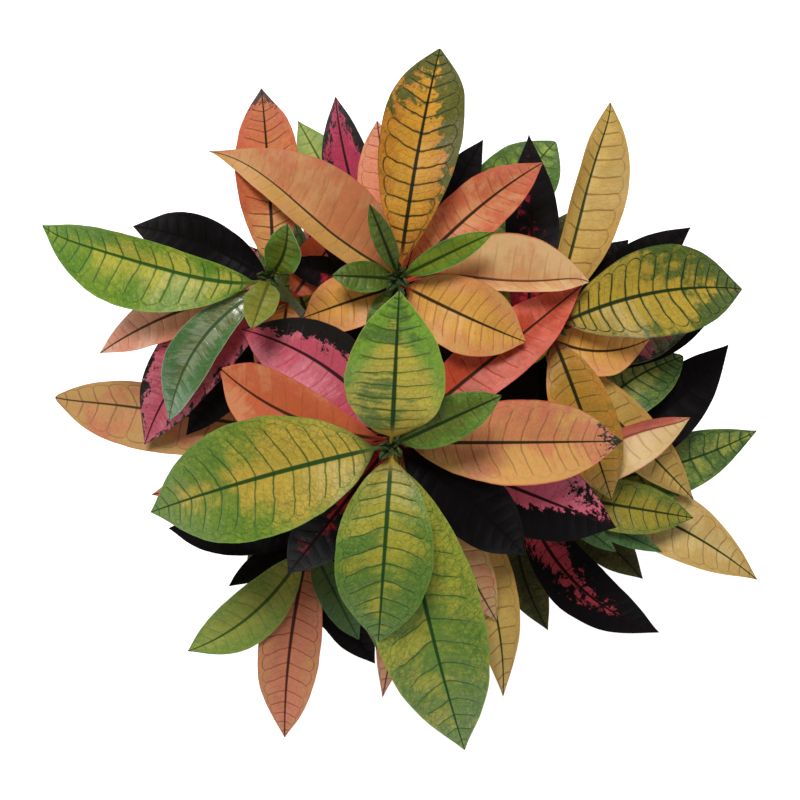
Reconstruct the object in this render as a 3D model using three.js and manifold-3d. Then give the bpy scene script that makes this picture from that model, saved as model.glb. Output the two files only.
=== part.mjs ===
// Potted croton: six leafy stems of a variegated croton standing in a plain round pot of soil.
// Millimetres, +Z up. The origin is the centre of the pot's underside, +Y is the top of the photograph.
import * as THREE from "three";
import { mergeVertices } from "three/addons/utils/BufferGeometryUtils.js";
import Module from "manifold-3d";

const manifold = await Module();
manifold.setup();
const { Manifold, Mesh } = manifold;

// Driving dimensions of the pot
const potHeight = 185;
const potBaseRadius = 70;
const potTopRadius = 94;
const potRimRadius = 102;
const potRimDrop = 30;
const potWall = 6;
const potFloor = 9;
const drainRadius = 6;
const drainCircle = 36;
const drainCount = 4;
const seatGap = 0.3;

// Driving dimensions of the soil
const soilTop = 164;
const soilCrown = 4;
const stemSocketDepth = 60;
const stemSocketGap = 0.6;

// Driving dimensions of the leaves
const bladeThickness = 1;
const ribThickness = 2.4;
const petioleHalfWidth = 1.7;
const petioleThickness = 2.6;
const petioleShare = 0.13;
const tipHalfWidth = 0.9;
const marginWave = 1.6;
const lensPower = 0.78;
const tipDrawn = 0.6;
const tipLength = 0.08;
const ringsAlongLeaf = [0, 0.1, 0.2, 0.32, 0.46, 0.61, 0.76, 0.9, 1];

// The six stems: where each stands in the soil, where its growing tip is, and how thick it is.
// The woody stem with its older leaves ends at the cut depth under the tip, and the green shoot
// of new leaves stands on it. The two low stems have no new shoot of another colour.
const stems = {
  front_stem: { root: [2, -14], tip: [-5, -27], top: 500, radius: 6.5, cut: 21 },
  back_stem: { root: [0, 32], tip: [-1, 76], top: 440, radius: 6, cut: 8 },
  left_stem: { root: [-40, 24], tip: [-80, 76], top: 450, radius: 6, cut: 10 },
  right_stem: { root: [42, 18], tip: [99, 47], top: 400, radius: 6, cut: 13 },
  low_right_stem: { root: [40, -28], tip: [92, -62], top: 340, radius: 5.5, cut: 0 },
  low_left_stem: { root: [-32, -36], tip: [-63, -99], top: 330, radius: 5.5, cut: 0 },
};

// One row a leaf: depth of its seat under the stem's tip, azimuth, reach, rise, drop, width,
// fold, and bow to the left of its own direction. Two more numbers may follow: how far its widest
// place lies towards the tip, and how far its midrib lies to the left within the blade, as shares.
// The midrib leaves its seat along the rise and is bent down by the drop at the tip.
const leaves = {
  front_stem: [
    [0, 87, 88, 120, 30, 60, 14, 0, -0.12, 0],
    [6, 196, 156, 55, 120, 73, 10, -3],
    [9, 266, 122, 56, 90, 60, 10, 0],
    [19, 283, 205, 9, 119, 70, 12, -3],
    [2, 25, 70, 75, 30, 28, 14, 0],
    [26, 0, 143, 55, 105, 54, 14, 0],
    [32, 319, 108, 40, 76, 44, 12, 3],
    [52, 338, 151, 24, 70, 56, 12, 0],
    [76, 39, 152, 30, 52, 40, 12, 0],
    [50, 158, 116, 54, 76, 44, 12, 10, 0.25, 0],
    [70, 145, 117, 78, 84, 50, 12, -11],
    [62, 232, 112, 30, 90, 40, 12, 0],
    [56, 299, 135, 30, 95, 36, 12, 0],
    [92, 292, 187, 30, 100, 36, 12, 19],
    [44, 193, 158, 30, 90, 36, 12, 0],
    [84, 267, 175, 30, 120, 28, 12, 6],
    [70, 265, 138, 30, 85, 38, 12, 0],
    [132, 174.5, 229, 35, 80, 46, 12, 8, 0.35, -0.23],
  ],
  back_stem: [
    [0, 113, 44, 60, 8, 14, 12, 0],
    [3, 24, 63, 60, 20, 17, 12, 0],
    [5, 178, 41, 30, 16, 20, 12, 0],
    [11, 80, 151, 78, 105, 53, 14, 2, 0.18, 0],
    [18, 1, 120, 68, 78, 38, 16, 12, 0.1, -0.6],
    [14, 335, 87, 66, 60, 47, 12, -2],
    [20, 198, 63, 30, 45, 36, 12, 0],
    [24, 152, 53, 24, 30, 18, 12, 0],
    [33, 166, 76, 32, 38, 22, 12, 0],
    [20, 145, 144, 96, 82, 49, 22, -15, -0.28, 0.5],
    [30, 42, 125, 45, 80, 37, 14, 5],
    [40, 97, 116, 40, 85, 37, 12, 0],
    [16, 245, 39, 20, 25, 20, 12, 0],
    [55, 107, 143, 40, 90, 34, 12, 7],
    [60, 63, 122, 30, 70, 31, 12, 2],
    [105, 49, 162, 30, 80, 54, 12, 0, 0.3, 0],
    [70, 118, 146, 20, 100, 40, 12, 0],
    [46, 222, 66, 12, 40, 34, 12, 0],
    [50, 302, 72, 12, 40, 38, 12, 0],
  ],
  left_stem: [
    [0, 64, 31, 60, 5, 24, 16, -4],
    [3, 255, 34, 50, 5, 22, 16, 0],
    [8, 166, 153, 50, 95, 46, 14, 17, 0.05, -0.35],
    [12, 95, 127, 38, 92, 42, 14, -2],
    [20, 157, 103, 30, 75, 34, 12, -6],
    [22, 199, 124, 40, 90, 31, 12, -6],
    [14, 231, 110, 45, 85, 31, 16, -13, 0.15, 0],
    [36, 226, 133, 40, 88, 46, 12, -13],
    [60, 230, 109, 38, 60, 30, 12, 0],
    [50, 195, 72, 25, 55, 22, 12, 0],
    [46, 262, 58, 14, 40, 36, 12, 0],
    [52, 55, 56, 10, 34, 30, 12, 0],
    [72, 191, 80, 20, 60, 20, 12, 0],
  ],
  right_stem: [
    [11, 12, 130, 40, 70, 60, 12, 9, 0.1, 0],
    [10, 291, 118, 35, 70, 42, 12, 0],
    [24, 358, 72, 15, 30, 34, 12, -10],
    [30, 35, 126, 25, 60, 32, 12, 0],
    [40, 45, 94, 25, 60, 32, 12, 0],
    [60, 8, 131, 25, 50, 36, 12, -8],
    [44, 4, 109, 20, 45, 34, 12, -5],
    [38, 316, 154, 18, 68, 36, 12, 0],
    [38, 71.6, 162, 56, 64, 40, 24, -12, 0.15, 0.45],
    [50, 88, 141, 30, 80, 37, 12, -2, -0.15, 0],
    [8, 230, 31, 14, 14, 16, 12, 0],
    [46, 254, 80, 15, 40, 36, 12, 0],
  ],
  low_right_stem: [
    [15, 35, 166, 29, 54, 48, 12, -11],
    [12, 41, 134, 46, 50, 40, 12, 9, 0.35, 0.2],
    [3, 27, 110, 67, 45, 31, 16, 0, 0, 0.55],
    [24, 12, 166, 28, 67, 43, 12, -10],
    [8, 350, 109, 30, 45, 36, 12, 0],
    [38, 337, 183, 28, 55, 46, 12, 13],
    [2, 323, 64, 25, 20, 15, 12, 0],
    [12, 334, 99, 25, 40, 18, 12, 0],
    [30, 313, 144, 25, 60, 40, 12, -19],
    [46, 322, 119, 15, 40, 36, 12, 5],
    [36, 283, 108, 18, 45, 31, 12, -9],
    [40, 350, 122, 20, 45, 24, 12, 0],
  ],
  low_left_stem: [
    [6, 222, 111, 30, 60, 37, 12, 10],
    [14, 262, 141, 30, 70, 43, 12, -4],
    [10, 296, 75, 25, 35, 24, 12, 0],
    [20, 294, 100, 20, 45, 33, 12, -5],
    [16, 178, 98, 20, 40, 30, 12, 1],
    [28, 215, 74, 10, 20, 18, 12, 0],
  ],
};

// The older leaves under the listed ones are kept only on the outer side of each stem, where light falls.
// Each row: depth of the first, step down to the next, count, azimuth outward, swing to both sides, reach.
const spiralTurn = 137.5;
const lowerLeaves = {
  front_stem: [145, 18, 2, 275, 15, 105],
  back_stem: [122, 18, 4, 95, 45, 110],
  left_stem: [100, 18, 5, 165, 55, 105],
  right_stem: [80, 16, 5, 25, 55, 105],
  low_right_stem: [54, 14, 4, 325, 50, 95],
  low_left_stem: [44, 14, 4, 235, 55, 90],
};

let drawn = 12;
function draw() {
  drawn = (drawn * 48271) % 2147483647;
  return drawn / 2147483647;
}

for (const [name, [first, step, count, outward, swing, reach]] of Object.entries(lowerLeaves)) {
  for (let i = 0; i < count; i += 1) {
    const azimuth = outward + swing * Math.sin((spiralTurn * (i + 1) * Math.PI) / 180);
    const length = reach * (0.9 + 0.2 * draw());
    const width = 34 + 8 * draw();
    leaves[name].push([first + step * i, azimuth, length, 22, 55, width, 12, 0]);
  }
}

// Small helpers that turn a closed geometry into a solid and back

function toSolid(geometry) {
  const bare = new THREE.BufferGeometry();
  bare.setAttribute("position", geometry.getAttribute("position"));
  if (geometry.index) {
    bare.setIndex(geometry.index);
  }
  const merged = mergeVertices(bare, 1e-4);
  return new Manifold(
    new Mesh({
      numProp: 3,
      vertProperties: new Float32Array(merged.getAttribute("position").array),
      triVerts: new Uint32Array(merged.index.array),
    }),
  );
}

function toGeometry(solid) {
  const mesh = solid.getMesh();
  const geometry = new THREE.BufferGeometry();
  geometry.setAttribute("position", new THREE.BufferAttribute(new Float32Array(mesh.vertProperties), 3));
  geometry.setIndex(new THREE.BufferAttribute(new Uint32Array(mesh.triVerts), 1));
  geometry.computeVertexNormals();
  return geometry;
}

function radians(degrees) {
  return (degrees * Math.PI) / 180;
}

// Joins the solids, then keeps the one outer body: it fills a sealed hollow and drops a loose scrap
function fuse(solids) {
  const joined = Manifold.union(solids);
  const bodies = joined.decompose();
  bodies.sort((a, b) => b.volume() - a.volume());
  return bodies[0];
}

// The stem: it stands upright in the soil, then leans outward towards its growing tip

function stemAxis(stem, height) {
  const share = Math.max(0, Math.min(1, (height - soilTop) / (stem.top - soilTop)));
  const lean = Math.pow(share, 1.5);
  return new THREE.Vector3(
    stem.root[0] + (stem.tip[0] - stem.root[0]) * lean,
    stem.root[1] + (stem.tip[1] - stem.root[1]) * lean,
    height,
  );
}

function stemRadius(stem, height) {
  const share = Math.max(0, Math.min(1, (height - soilTop) / (stem.top - soilTop)));
  return stem.radius * (1 - 0.5 * share);
}

class StemCurve extends THREE.Curve {
  constructor(stem, bottom, top) {
    super();
    this.stem = stem;
    this.bottom = bottom;
    this.top = top;
  }
  getPoint(share) {
    return stemAxis(this.stem, this.bottom + (this.top - this.bottom) * share);
  }
  // Every section lies level, so that two lengths of stem meet on level faces
  getTangent() {
    return new THREE.Vector3(0, 0, 1);
  }
}

function stemSolid(stem, bottom, top, steps) {
  const circle = new THREE.Shape();
  circle.absarc(0, 0, 1, 0, 2 * Math.PI, false);
  const path = new StemCurve(stem, bottom, top);
  const tube = new THREE.ExtrudeGeometry(circle, {
    steps: steps,
    curveSegments: 5,
    extrudePath: path,
    bevelEnabled: false,
  });
  const points = tube.getAttribute("position");
  const point = new THREE.Vector3();
  for (let i = 0; i < points.count; i += 1) {
    point.fromBufferAttribute(points, i);
    const centre = stemAxis(stem, point.z);
    point.sub(centre);
    point.z = 0;
    point.setLength(stemRadius(stem, centre.z));
    points.setXYZ(i, centre.x + point.x, centre.y + point.y, centre.z);
  }
  return toSolid(tube);
}

// The leaf: a short stalk and a folded, arched and slightly waved blade as one closed body

function lens(share, nearBase, nearTip) {
  return Math.pow(share, nearBase) * Math.pow(1 - share, nearTip);
}

function bladeShape(share, belly) {
  if (share <= 0 || share >= 1) {
    return 0;
  }
  const nearBase = lensPower * (1 + belly);
  const nearTip = lensPower * (1 - belly);
  const widest = (1 + belly) / 2;
  const full = lens(share, nearBase, nearTip) / lens(widest, nearBase, nearTip);
  return full * (1 - tipDrawn * Math.exp((share - 1) / tipLength));
}

function leafPoint(leaf, share, side, lift) {
  const [, , reach, rise, drop, width, fold, bow, belly = 0, shift = 0] = leaf;
  const bladeShare = (share - petioleShare) / (1 - petioleShare);
  const full = bladeShape(bladeShare, belly);
  const half = Math.max(petioleHalfWidth - share * (petioleHalfWidth - tipHalfWidth), (width / 2) * full);
  const slope = (rise - 2 * drop * share) / reach;
  const norm = Math.hypot(1, slope);
  const wave = marginWave * full * Math.sin(11 * bladeShare + 1.5 * side + reach);
  const across = half * (side * Math.cos(radians(fold)) + shift * full * (1 - Math.abs(side)));
  const above = Math.abs(side) * (half * Math.sin(radians(fold)) * full + wave) + lift;
  return new THREE.Vector3(
    reach * share - (slope / norm) * above,
    bow * 4 * share * (1 - share) + across,
    rise * share - drop * share * share + above / norm,
  );
}

function leafGeometry(stem, leaf) {
  const [depth, azimuth] = leaf;
  const seat = stemAxis(stem, stem.top - depth);
  const points = [];
  for (const share of ringsAlongLeaf) {
    const taper = Math.min(1, share / 0.3);
    const edge = (petioleThickness - 0.6) * (1 - taper) + bladeThickness * taper;
    const rib = ribThickness + (petioleThickness - ribThickness) * (1 - taper) - 1.2 * share;
    const ring = [
      leafPoint(leaf, share, 1, edge / 2),
      leafPoint(leaf, share, 0, bladeThickness / 2),
      leafPoint(leaf, share, -1, edge / 2),
      leafPoint(leaf, share, -1, -edge / 2),
      leafPoint(leaf, share, 0, bladeThickness / 2 - rib),
      leafPoint(leaf, share, 1, -edge / 2),
    ];
    for (const point of ring) {
      point.applyAxisAngle(new THREE.Vector3(0, 0, 1), radians(azimuth));
      point.add(seat);
      points.push(point.x, point.y, point.z);
    }
  }
  const faces = [];
  const rings = ringsAlongLeaf.length;
  for (let i = 0; i + 1 < rings; i += 1) {
    for (let j = 0; j < 6; j += 1) {
      const a = i * 6 + j;
      const b = i * 6 + ((j + 1) % 6);
      const c = a + 6;
      const d = b + 6;
      if (j === 0 || j === 3 || j === 5) {
        faces.push(a, b, c, b, d, c);
      } else {
        faces.push(a, d, c, a, b, d);
      }
    }
  }
  const last = (rings - 1) * 6;
  faces.push(0, 5, 1, 1, 5, 4, 1, 4, 2, 2, 4, 3);
  faces.push(last, last + 1, last + 5, last + 1, last + 4, last + 5);
  faces.push(last + 1, last + 2, last + 4, last + 2, last + 3, last + 4);
  const geometry = new THREE.BufferGeometry();
  geometry.setAttribute("position", new THREE.Float32BufferAttribute(points, 3));
  geometry.setIndex(faces);
  return geometry;
}

// A length of stem with every leaf that is seated on it

function leafyStem(name, topDepth, bottomDepth, steps) {
  const stem = stems[name];
  const bottom = Math.max(soilTop - stemSocketDepth, stem.top - bottomDepth);
  const solids = [stemSolid(stem, bottom, stem.top - topDepth, steps)];
  for (const leaf of leaves[name]) {
    if (leaf[0] >= topDepth && leaf[0] < bottomDepth) {
      solids.push(toSolid(leafGeometry(stem, leaf)));
    }
  }
  return toGeometry(fuse(solids));
}

// The pot: a tapered wall under a straight rim band, with drainage holes round the middle of its floor

function potGeometry() {
  const rimBottom = potHeight - potRimDrop;
  const slope = (potTopRadius - potBaseRadius) / rimBottom;
  const profile = [
    [0, 0],
    [potBaseRadius - 2, 0],
    [potBaseRadius, 2],
    [potBaseRadius + slope * rimBottom, rimBottom - 2],
    [potRimRadius - 2, rimBottom],
    [potRimRadius, rimBottom + 2],
    [potRimRadius, potHeight - 3],
    [potRimRadius - 3, potHeight],
    [potRimRadius - potWall, potHeight],
    [potRimRadius - potWall - 2, potHeight - 2],
    [potTopRadius - potWall + slope * 15, rimBottom],
    [potBaseRadius - potWall + 2, potFloor + 4],
    [potBaseRadius - potWall - 4, potFloor],
    [0, potFloor],
  ];
  const body = new THREE.LatheGeometry(
    profile.map(([radius, height]) => new THREE.Vector2(radius, height)),
    48,
  );
  body.rotateX(Math.PI / 2);
  let solid = toSolid(body);
  for (let i = 0; i < drainCount; i += 1) {
    const hole = new THREE.CylinderGeometry(drainRadius, drainRadius, potFloor * 3, 14);
    hole.rotateX(Math.PI / 2);
    const angle = ((i + 0.5) / drainCount) * 2 * Math.PI;
    hole.translate(drainCircle * Math.cos(angle), drainCircle * Math.sin(angle), 0);
    solid = solid.subtract(toSolid(hole));
  }
  return toGeometry(solid);
}

// The soil: it fills the pot to a thumb's breadth under the rim and has a plain socket for each stem

function soilGeometry() {
  const rimBottom = potHeight - potRimDrop;
  const slope = (potTopRadius - potBaseRadius) / rimBottom;
  const wallRadius = potTopRadius - potWall + slope * 15 - seatGap;
  const profile = [
    [0, potFloor + seatGap],
    [potBaseRadius - potWall - 4 - seatGap, potFloor + seatGap],
    [potBaseRadius - potWall + 2 - seatGap, potFloor + 4 + seatGap],
    [wallRadius, rimBottom],
    [wallRadius + 1, soilTop - 2],
    [wallRadius - 3, soilTop],
    [wallRadius * 0.6, soilTop + soilCrown * 0.7],
    [0, soilTop + soilCrown],
  ];
  const body = new THREE.LatheGeometry(
    profile.map(([radius, height]) => new THREE.Vector2(radius, height)),
    48,
  );
  body.rotateX(Math.PI / 2);
  let solid = toSolid(body);
  for (const stem of Object.values(stems)) {
    const radius = stem.radius + stemSocketGap;
    const depth = stemSocketDepth + 1;
    const socket = new THREE.CylinderGeometry(radius, radius, depth + 20, 16);
    socket.rotateX(Math.PI / 2);
    socket.translate(stem.root[0], stem.root[1], soilTop + 10 - depth / 2);
    solid = solid.subtract(toSolid(socket));
  }
  return toGeometry(solid);
}

// The object

const plant = new THREE.Group();
plant.name = "potted_croton";

function addNode(name, geometry, color, roughness) {
  const material = new THREE.MeshStandardMaterial({ color: color, roughness: roughness, metalness: 0 });
  const mesh = new THREE.Mesh(geometry, material);
  mesh.name = name;
  plant.add(mesh);
}

addNode("pot", potGeometry(), 0xa45a3c, 0.8);
addNode("soil", soilGeometry(), 0x2b1d14, 0.95);
for (const [name, stem] of Object.entries(stems)) {
  if (stem.cut > 0) {
    addNode(name + "_shoot", leafyStem(name, 0, stem.cut, 3), 0x7fa53a, 0.4);
    addNode(name, leafyStem(name, stem.cut + seatGap, 1000, 12), 0x9c5a3a, 0.4);
  } else {
    addNode(name, leafyStem(name, 0, 1000, 12), 0x5a3a2c, 0.4);
  }
}

export default plant;
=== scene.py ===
# %% [markdown]
# # A potted croton, seen from straight above
# A croton is a foliage plant. Every leaf is a long ellipse folded a little along its midrib, and each
# one is coloured in its own way, from plain green through gold, amber and salmon to nearly black.
# The packed model is loaded first. It holds the pot, the soil and six leafy stems at their real size,
# and every piece made below takes the place of one of those nodes, in metres and in the same frame.

# %% Load the frame
import math
from collections import namedtuple
from functools import partialmethod

import bpy
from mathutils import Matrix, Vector


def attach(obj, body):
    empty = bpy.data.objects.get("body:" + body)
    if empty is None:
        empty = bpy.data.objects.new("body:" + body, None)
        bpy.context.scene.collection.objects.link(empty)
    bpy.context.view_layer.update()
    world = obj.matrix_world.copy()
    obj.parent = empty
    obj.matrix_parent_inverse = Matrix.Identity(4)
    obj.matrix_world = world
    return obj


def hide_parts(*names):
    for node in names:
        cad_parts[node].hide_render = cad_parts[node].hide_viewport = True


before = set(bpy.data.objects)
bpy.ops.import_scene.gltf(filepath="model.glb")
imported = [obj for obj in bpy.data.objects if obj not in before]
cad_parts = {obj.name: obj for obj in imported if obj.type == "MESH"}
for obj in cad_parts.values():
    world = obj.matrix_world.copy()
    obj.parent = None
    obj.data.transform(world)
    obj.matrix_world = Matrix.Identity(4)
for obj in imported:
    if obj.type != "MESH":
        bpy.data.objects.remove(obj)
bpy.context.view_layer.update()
MM = 0.001

# %% [markdown]
# ## The camera
# The plant was photographed from directly overhead, so the picture shows only foliage. The camera hangs
# 1.93 m over the floor on the pot's axis, with the top of the picture towards +Y. A long lens keeps the
# low outer leaves from shrinking against the high ones more than they do in the photograph.

# %% Camera
CAMERA_HEIGHT = 1.93
SENSOR_WIDTH = 36.0
VIEW_WIDTH_AT_METRE = 0.3307


def in_scene(name, data):
    """A new object with this data, linked to the scene."""
    thing = bpy.data.objects.new(name, data)
    bpy.context.scene.collection.objects.link(thing)
    return thing


camera_data = bpy.data.cameras.new("overhead_camera")
camera_data.sensor_width = SENSOR_WIDTH
camera_data.lens = SENSOR_WIDTH / VIEW_WIDTH_AT_METRE
camera = in_scene("overhead_camera", camera_data)
camera.location = (0.0, 0.0, CAMERA_HEIGHT)
bpy.context.scene.camera = camera
print("lens", round(camera_data.lens, 1), "mm")

# %% [markdown]
# ## Colours as they are seen
# Colours are written as they look on a screen, from 0 to 255, and turned into the linear light values
# that Blender's shaders add and multiply. The scene's view transform is the plain one, so that a white
# floor reads as white and a leaf keeps the colour that it was given.

# %% Colour helper
bpy.context.scene.view_settings.view_transform = "Standard"


def seen(red, green, blue):
    """The linear colour, with alpha, of a colour given as it looks on a screen."""
    linear = []
    for part in (red, green, blue):
        share = part / 255
        linear.append(share / 12.92 if share <= 0.04045 else ((share + 0.055) / 1.055) ** 2.4)
    return (*linear, 1.0)


print("mid grey is", round(seen(128, 128, 128)[0], 3))

# %% [markdown]
# ## Numbers that a node tree works out
# Geometry Nodes and shader nodes both use Math nodes, one for each plus or times. Written one by one,
# a leaf's formula would fill pages. A Field here is the output of such a node: adding two of them makes
# the Math node and links it, so a formula reads the same in a tree as it does on paper.
# Most operations differ only in one word, so they all come from the one method that adds a node.

# %% Fields
class Field:
    """A number that a node tree works out at every point of a surface."""

    def __init__(self, tree, socket):
        self.tree = tree
        self.socket = socket

    def math(self, operation, *others):
        node = self.tree.nodes.new("ShaderNodeMath")
        node.operation = operation
        for place, value in zip(node.inputs, (self, *others)):
            feed(self.tree, value, place)
        return Field(self.tree, node.outputs[0])

    __add__ = __radd__ = partialmethod(math, "ADD")
    __sub__ = partialmethod(math, "SUBTRACT")
    __mul__ = __rmul__ = partialmethod(math, "MULTIPLY")
    __truediv__ = partialmethod(math, "DIVIDE")
    __pow__ = partialmethod(math, "POWER")
    least = partialmethod(math, "MINIMUM")
    most = partialmethod(math, "MAXIMUM")
    size = partialmethod(math, "ABSOLUTE")
    sin = partialmethod(math, "SINE")
    cos = partialmethod(math, "COSINE")
    root = partialmethod(math, "SQRT")
    exp = partialmethod(math, "EXPONENT")

    def __rsub__(self, other):
        return self * -1.0 + other

    def __rtruediv__(self, other):
        return self ** -1.0 * other

    def within(self, low, high):
        return self.most(low).least(high)

    def ramp(self, start, end):
        """0 up to start, 1 from end on, and a smooth rise between them."""
        node = self.tree.nodes.new("ShaderNodeMapRange")
        node.interpolation_type = "SMOOTHSTEP"
        for place, value in zip(node.inputs, (self, start, end, 0.0, 1.0)):
            feed(self.tree, value, place)
        return Field(self.tree, node.outputs[0])


print("a Field has", sum(word[0] != "_" for word in vars(Field)), "operations with a name")

# %% [markdown]
# ## Feeding, mixing and joining numbers
# A node's input takes either a plain number or a link from another node. Most formulas need the same three
# helpers: one that feeds an input whichever it is, one that mixes two numbers by a share, and one that
# joins three numbers to a vector.

# %% Feeding and mixing
def feed(tree, value, place):
    """Puts a number or a Field into a node's input."""
    if isinstance(value, Field):
        tree.links.new(value.socket, place)
    else:
        place.default_value = value


def mixed(near, far, share):
    """near where share is 0 and far where it is 1."""
    return near + (far - near) * share


def vector(tree, x, y, z):
    node = tree.nodes.new("ShaderNodeCombineXYZ")
    for place, value in zip(node.inputs, (x, y, z)):
        feed(tree, value, place)
    return node.outputs[0]


print("a third of the way from 2 to 8 is", round(mixed(2, 8, 1 / 3), 3))

# %% [markdown]
# ## The six stems
# Six stems stand in the soil and lean outwards towards their growing tips. A stem has only a few driving
# numbers: where it stands, where its tip is, how high that is, how thick it is, and how far under the tip
# the green shoot ends and the woody length begins. Lengths are in millimetres, as on a drawing.

# %% Stems
SOIL_TOP = 164
STEM_SOCKET_DEPTH = 60
STEM_TAPER = 0.5
LEAN_POWER = 1.5
SHOOT_GAP = 0.3

stems = {
    "front_stem": {"root": (2, -14), "tip": (-5, -27), "top": 500, "radius": 6.5, "cut": 21},
    "back_stem": {"root": (0, 32), "tip": (-1, 76), "top": 440, "radius": 6, "cut": 8},
    "left_stem": {"root": (-40, 24), "tip": (-80, 76), "top": 450, "radius": 6, "cut": 10},
    "right_stem": {"root": (42, 18), "tip": (99, 47), "top": 400, "radius": 6, "cut": 13},
    "low_right_stem": {"root": (40, -28), "tip": (92, -62), "top": 340, "radius": 5.5, "cut": 0},
    "low_left_stem": {"root": (-32, -36), "tip": (-63, -99), "top": 330, "radius": 5.5, "cut": 0},
}


def stem_axis(stem, height):
    """The middle of the stem at a height in millimetres, as a point in metres."""
    share = (height - SOIL_TOP) / (stem["top"] - SOIL_TOP)
    lean = max(0.0, min(1.0, share)) ** LEAN_POWER
    x, y = (root + (tip - root) * lean for root, tip in zip(stem["root"], stem["tip"]))
    return Vector((x, y, height)) * MM


highest = max(stem["top"] for stem in stems.values())
print(len(stems), "stems, the highest", highest, "mm up")

# %% [markdown]
# ## Leaves, one row each
# The picture shows about eighty leaves, and no rule would put each one where it is. So each leaf is one
# row of numbers that were read off the plant: how far under the tip it sits, the direction it points in,
# how far it reaches, how much it rises and droops, its width, the fold of its two halves, its sideways
# bow, and the finish of its skin. The next number says on which side of the midrib the patches gather:
# 1 is left, seen from the stem, and -1 is right. Two more may follow: how far the widest place lies
# towards the tip, and how far the midrib lies to the left.

# %% One row a leaf
LEAF_WORDS = "depth azimuth reach rise drop width fold bow finish patch_side belly midrib_shift"
Leaf = namedtuple("Leaf", LEAF_WORDS, defaults=(0, 0))
leaves = {}


def place_leaves(stem_name, *rows):
    """Keeps the leaves of one stem, in the order of their rows."""
    leaves[stem_name] = [Leaf(*row) for row in rows]
    print(stem_name, "carries", len(rows), "leaves placed one by one")


print("a row may hold", len(Leaf._fields), "entries")

# %% [markdown]
# ## The front stem
# The tallest stem ends in the middle of the picture. Four broad leaves of green and gold lie on top, with
# peach, orange, coral and black ones under them, and long tan and salmon ones reach out lowest.

# %% Leaves of the front stem
place_leaves(
    "front_stem",
    (0, 87, 88, 120, 30, 60, 14, 0, "banded_lime", 1, -0.12),
    (6, 196, 156, 55, 120, 73, 10, -3, "gold_lime", 0),
    (9, 266, 122, 56, 90, 60, 10, 0, "moss_gold", 0),
    (19, 283, 205, 9, 119, 70, 12, -3, "moss_lime", 0),
    (2, 25, 70, 75, 30, 28, 14, 0, "young_green", 0),
    (26, 0, 143, 55, 105, 54, 14, 0, "peach_dark_tip", 1),
    (32, 319, 108, 40, 76, 44, 12, 3, "black", 0),
    (52, 338, 151, 24, 70, 56, 12, 0, "black_pink", 1),
    (76, 39, 152, 30, 52, 40, 12, 0, "red_orange", 0),
    (50, 158, 116, 54, 76, 44, 12, 10, "orange", 0, 0.25),
    (70, 145, 117, 78, 84, 50, 12, -11, "crimson", -1),
    (62, 232, 112, 30, 90, 40, 12, 0, "black_red", 0),
    (56, 299, 135, 30, 95, 36, 12, 0, "tan", 0),
    (92, 292, 187, 30, 100, 36, 12, 19, "tan_yellow", 0),
    (44, 193, 158, 30, 90, 36, 12, 0, "red_orange", 0),
    (84, 267, 175, 30, 120, 28, 12, 6, "salmon", 0),
    (70, 265, 138, 30, 85, 38, 12, 0, "olive", 0),
    (132, 174.5, 229, 35, 80, 46, 12, 8, "tan", 0, 0.35, -0.23),
)

# %% [markdown]
# ## The back stem
# Round the second tip four small green leaves have just opened. An amber leaf with green mottling points
# to the top of the picture, and salmon, coral and peach leaves fan out beside it.

# %% Leaves of the back stem
place_leaves(
    "back_stem",
    (0, 113, 44, 60, 8, 14, 12, 0, "young_green", 0),
    (3, 24, 63, 60, 20, 17, 12, 0, "bright_green", 0),
    (5, 178, 41, 30, 16, 20, 12, 0, "young_green", 0),
    (11, 80, 151, 78, 105, 53, 14, 2, "amber_green", -1, 0.18),
    (18, 1, 120, 68, 78, 38, 16, 12, "peach", 0, 0.1, -0.6),
    (14, 335, 87, 66, 60, 48, 12, -2, "amber", 0),
    (20, 198, 63, 30, 45, 36, 12, 0, "amber", 0),
    (24, 152, 53, 24, 30, 18, 12, 0, "black", 0),
    (33, 166, 76, 32, 38, 22, 12, 0, "black_red", 0),
    (20, 145, 144, 96, 82, 49, 22, -15, "salmon_gold", -1, -0.28, 0.5),
    (30, 42, 125, 45, 80, 37, 14, 5, "orange_coral", 0),
    (40, 97, 116, 40, 85, 37, 12, 0, "salmon", 0),
    (16, 245, 39, 20, 25, 20, 12, 0, "young_green", 0),
    (55, 107, 143, 40, 90, 34, 12, 7, "crimson_black", 0),
    (60, 63, 122, 30, 70, 31, 12, 2, "black", 0),
    (105, 49, 162, 30, 80, 54, 12, 0, "lime_marbled", 0, 0.3),
    (70, 118, 146, 20, 100, 40, 12, 0, "lime_green", 0),
    (46, 222, 66, 12, 40, 34, 12, 0, "black", 0),
    (50, 302, 72, 12, 40, 38, 12, 0, "black", 0),
)

# %% [markdown]
# ## The left stem
# Two small leaves stand at this tip. A long green and gold leaf reaches far to the left, and under a
# glossy green one lies a crimson leaf with a black margin.

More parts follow.
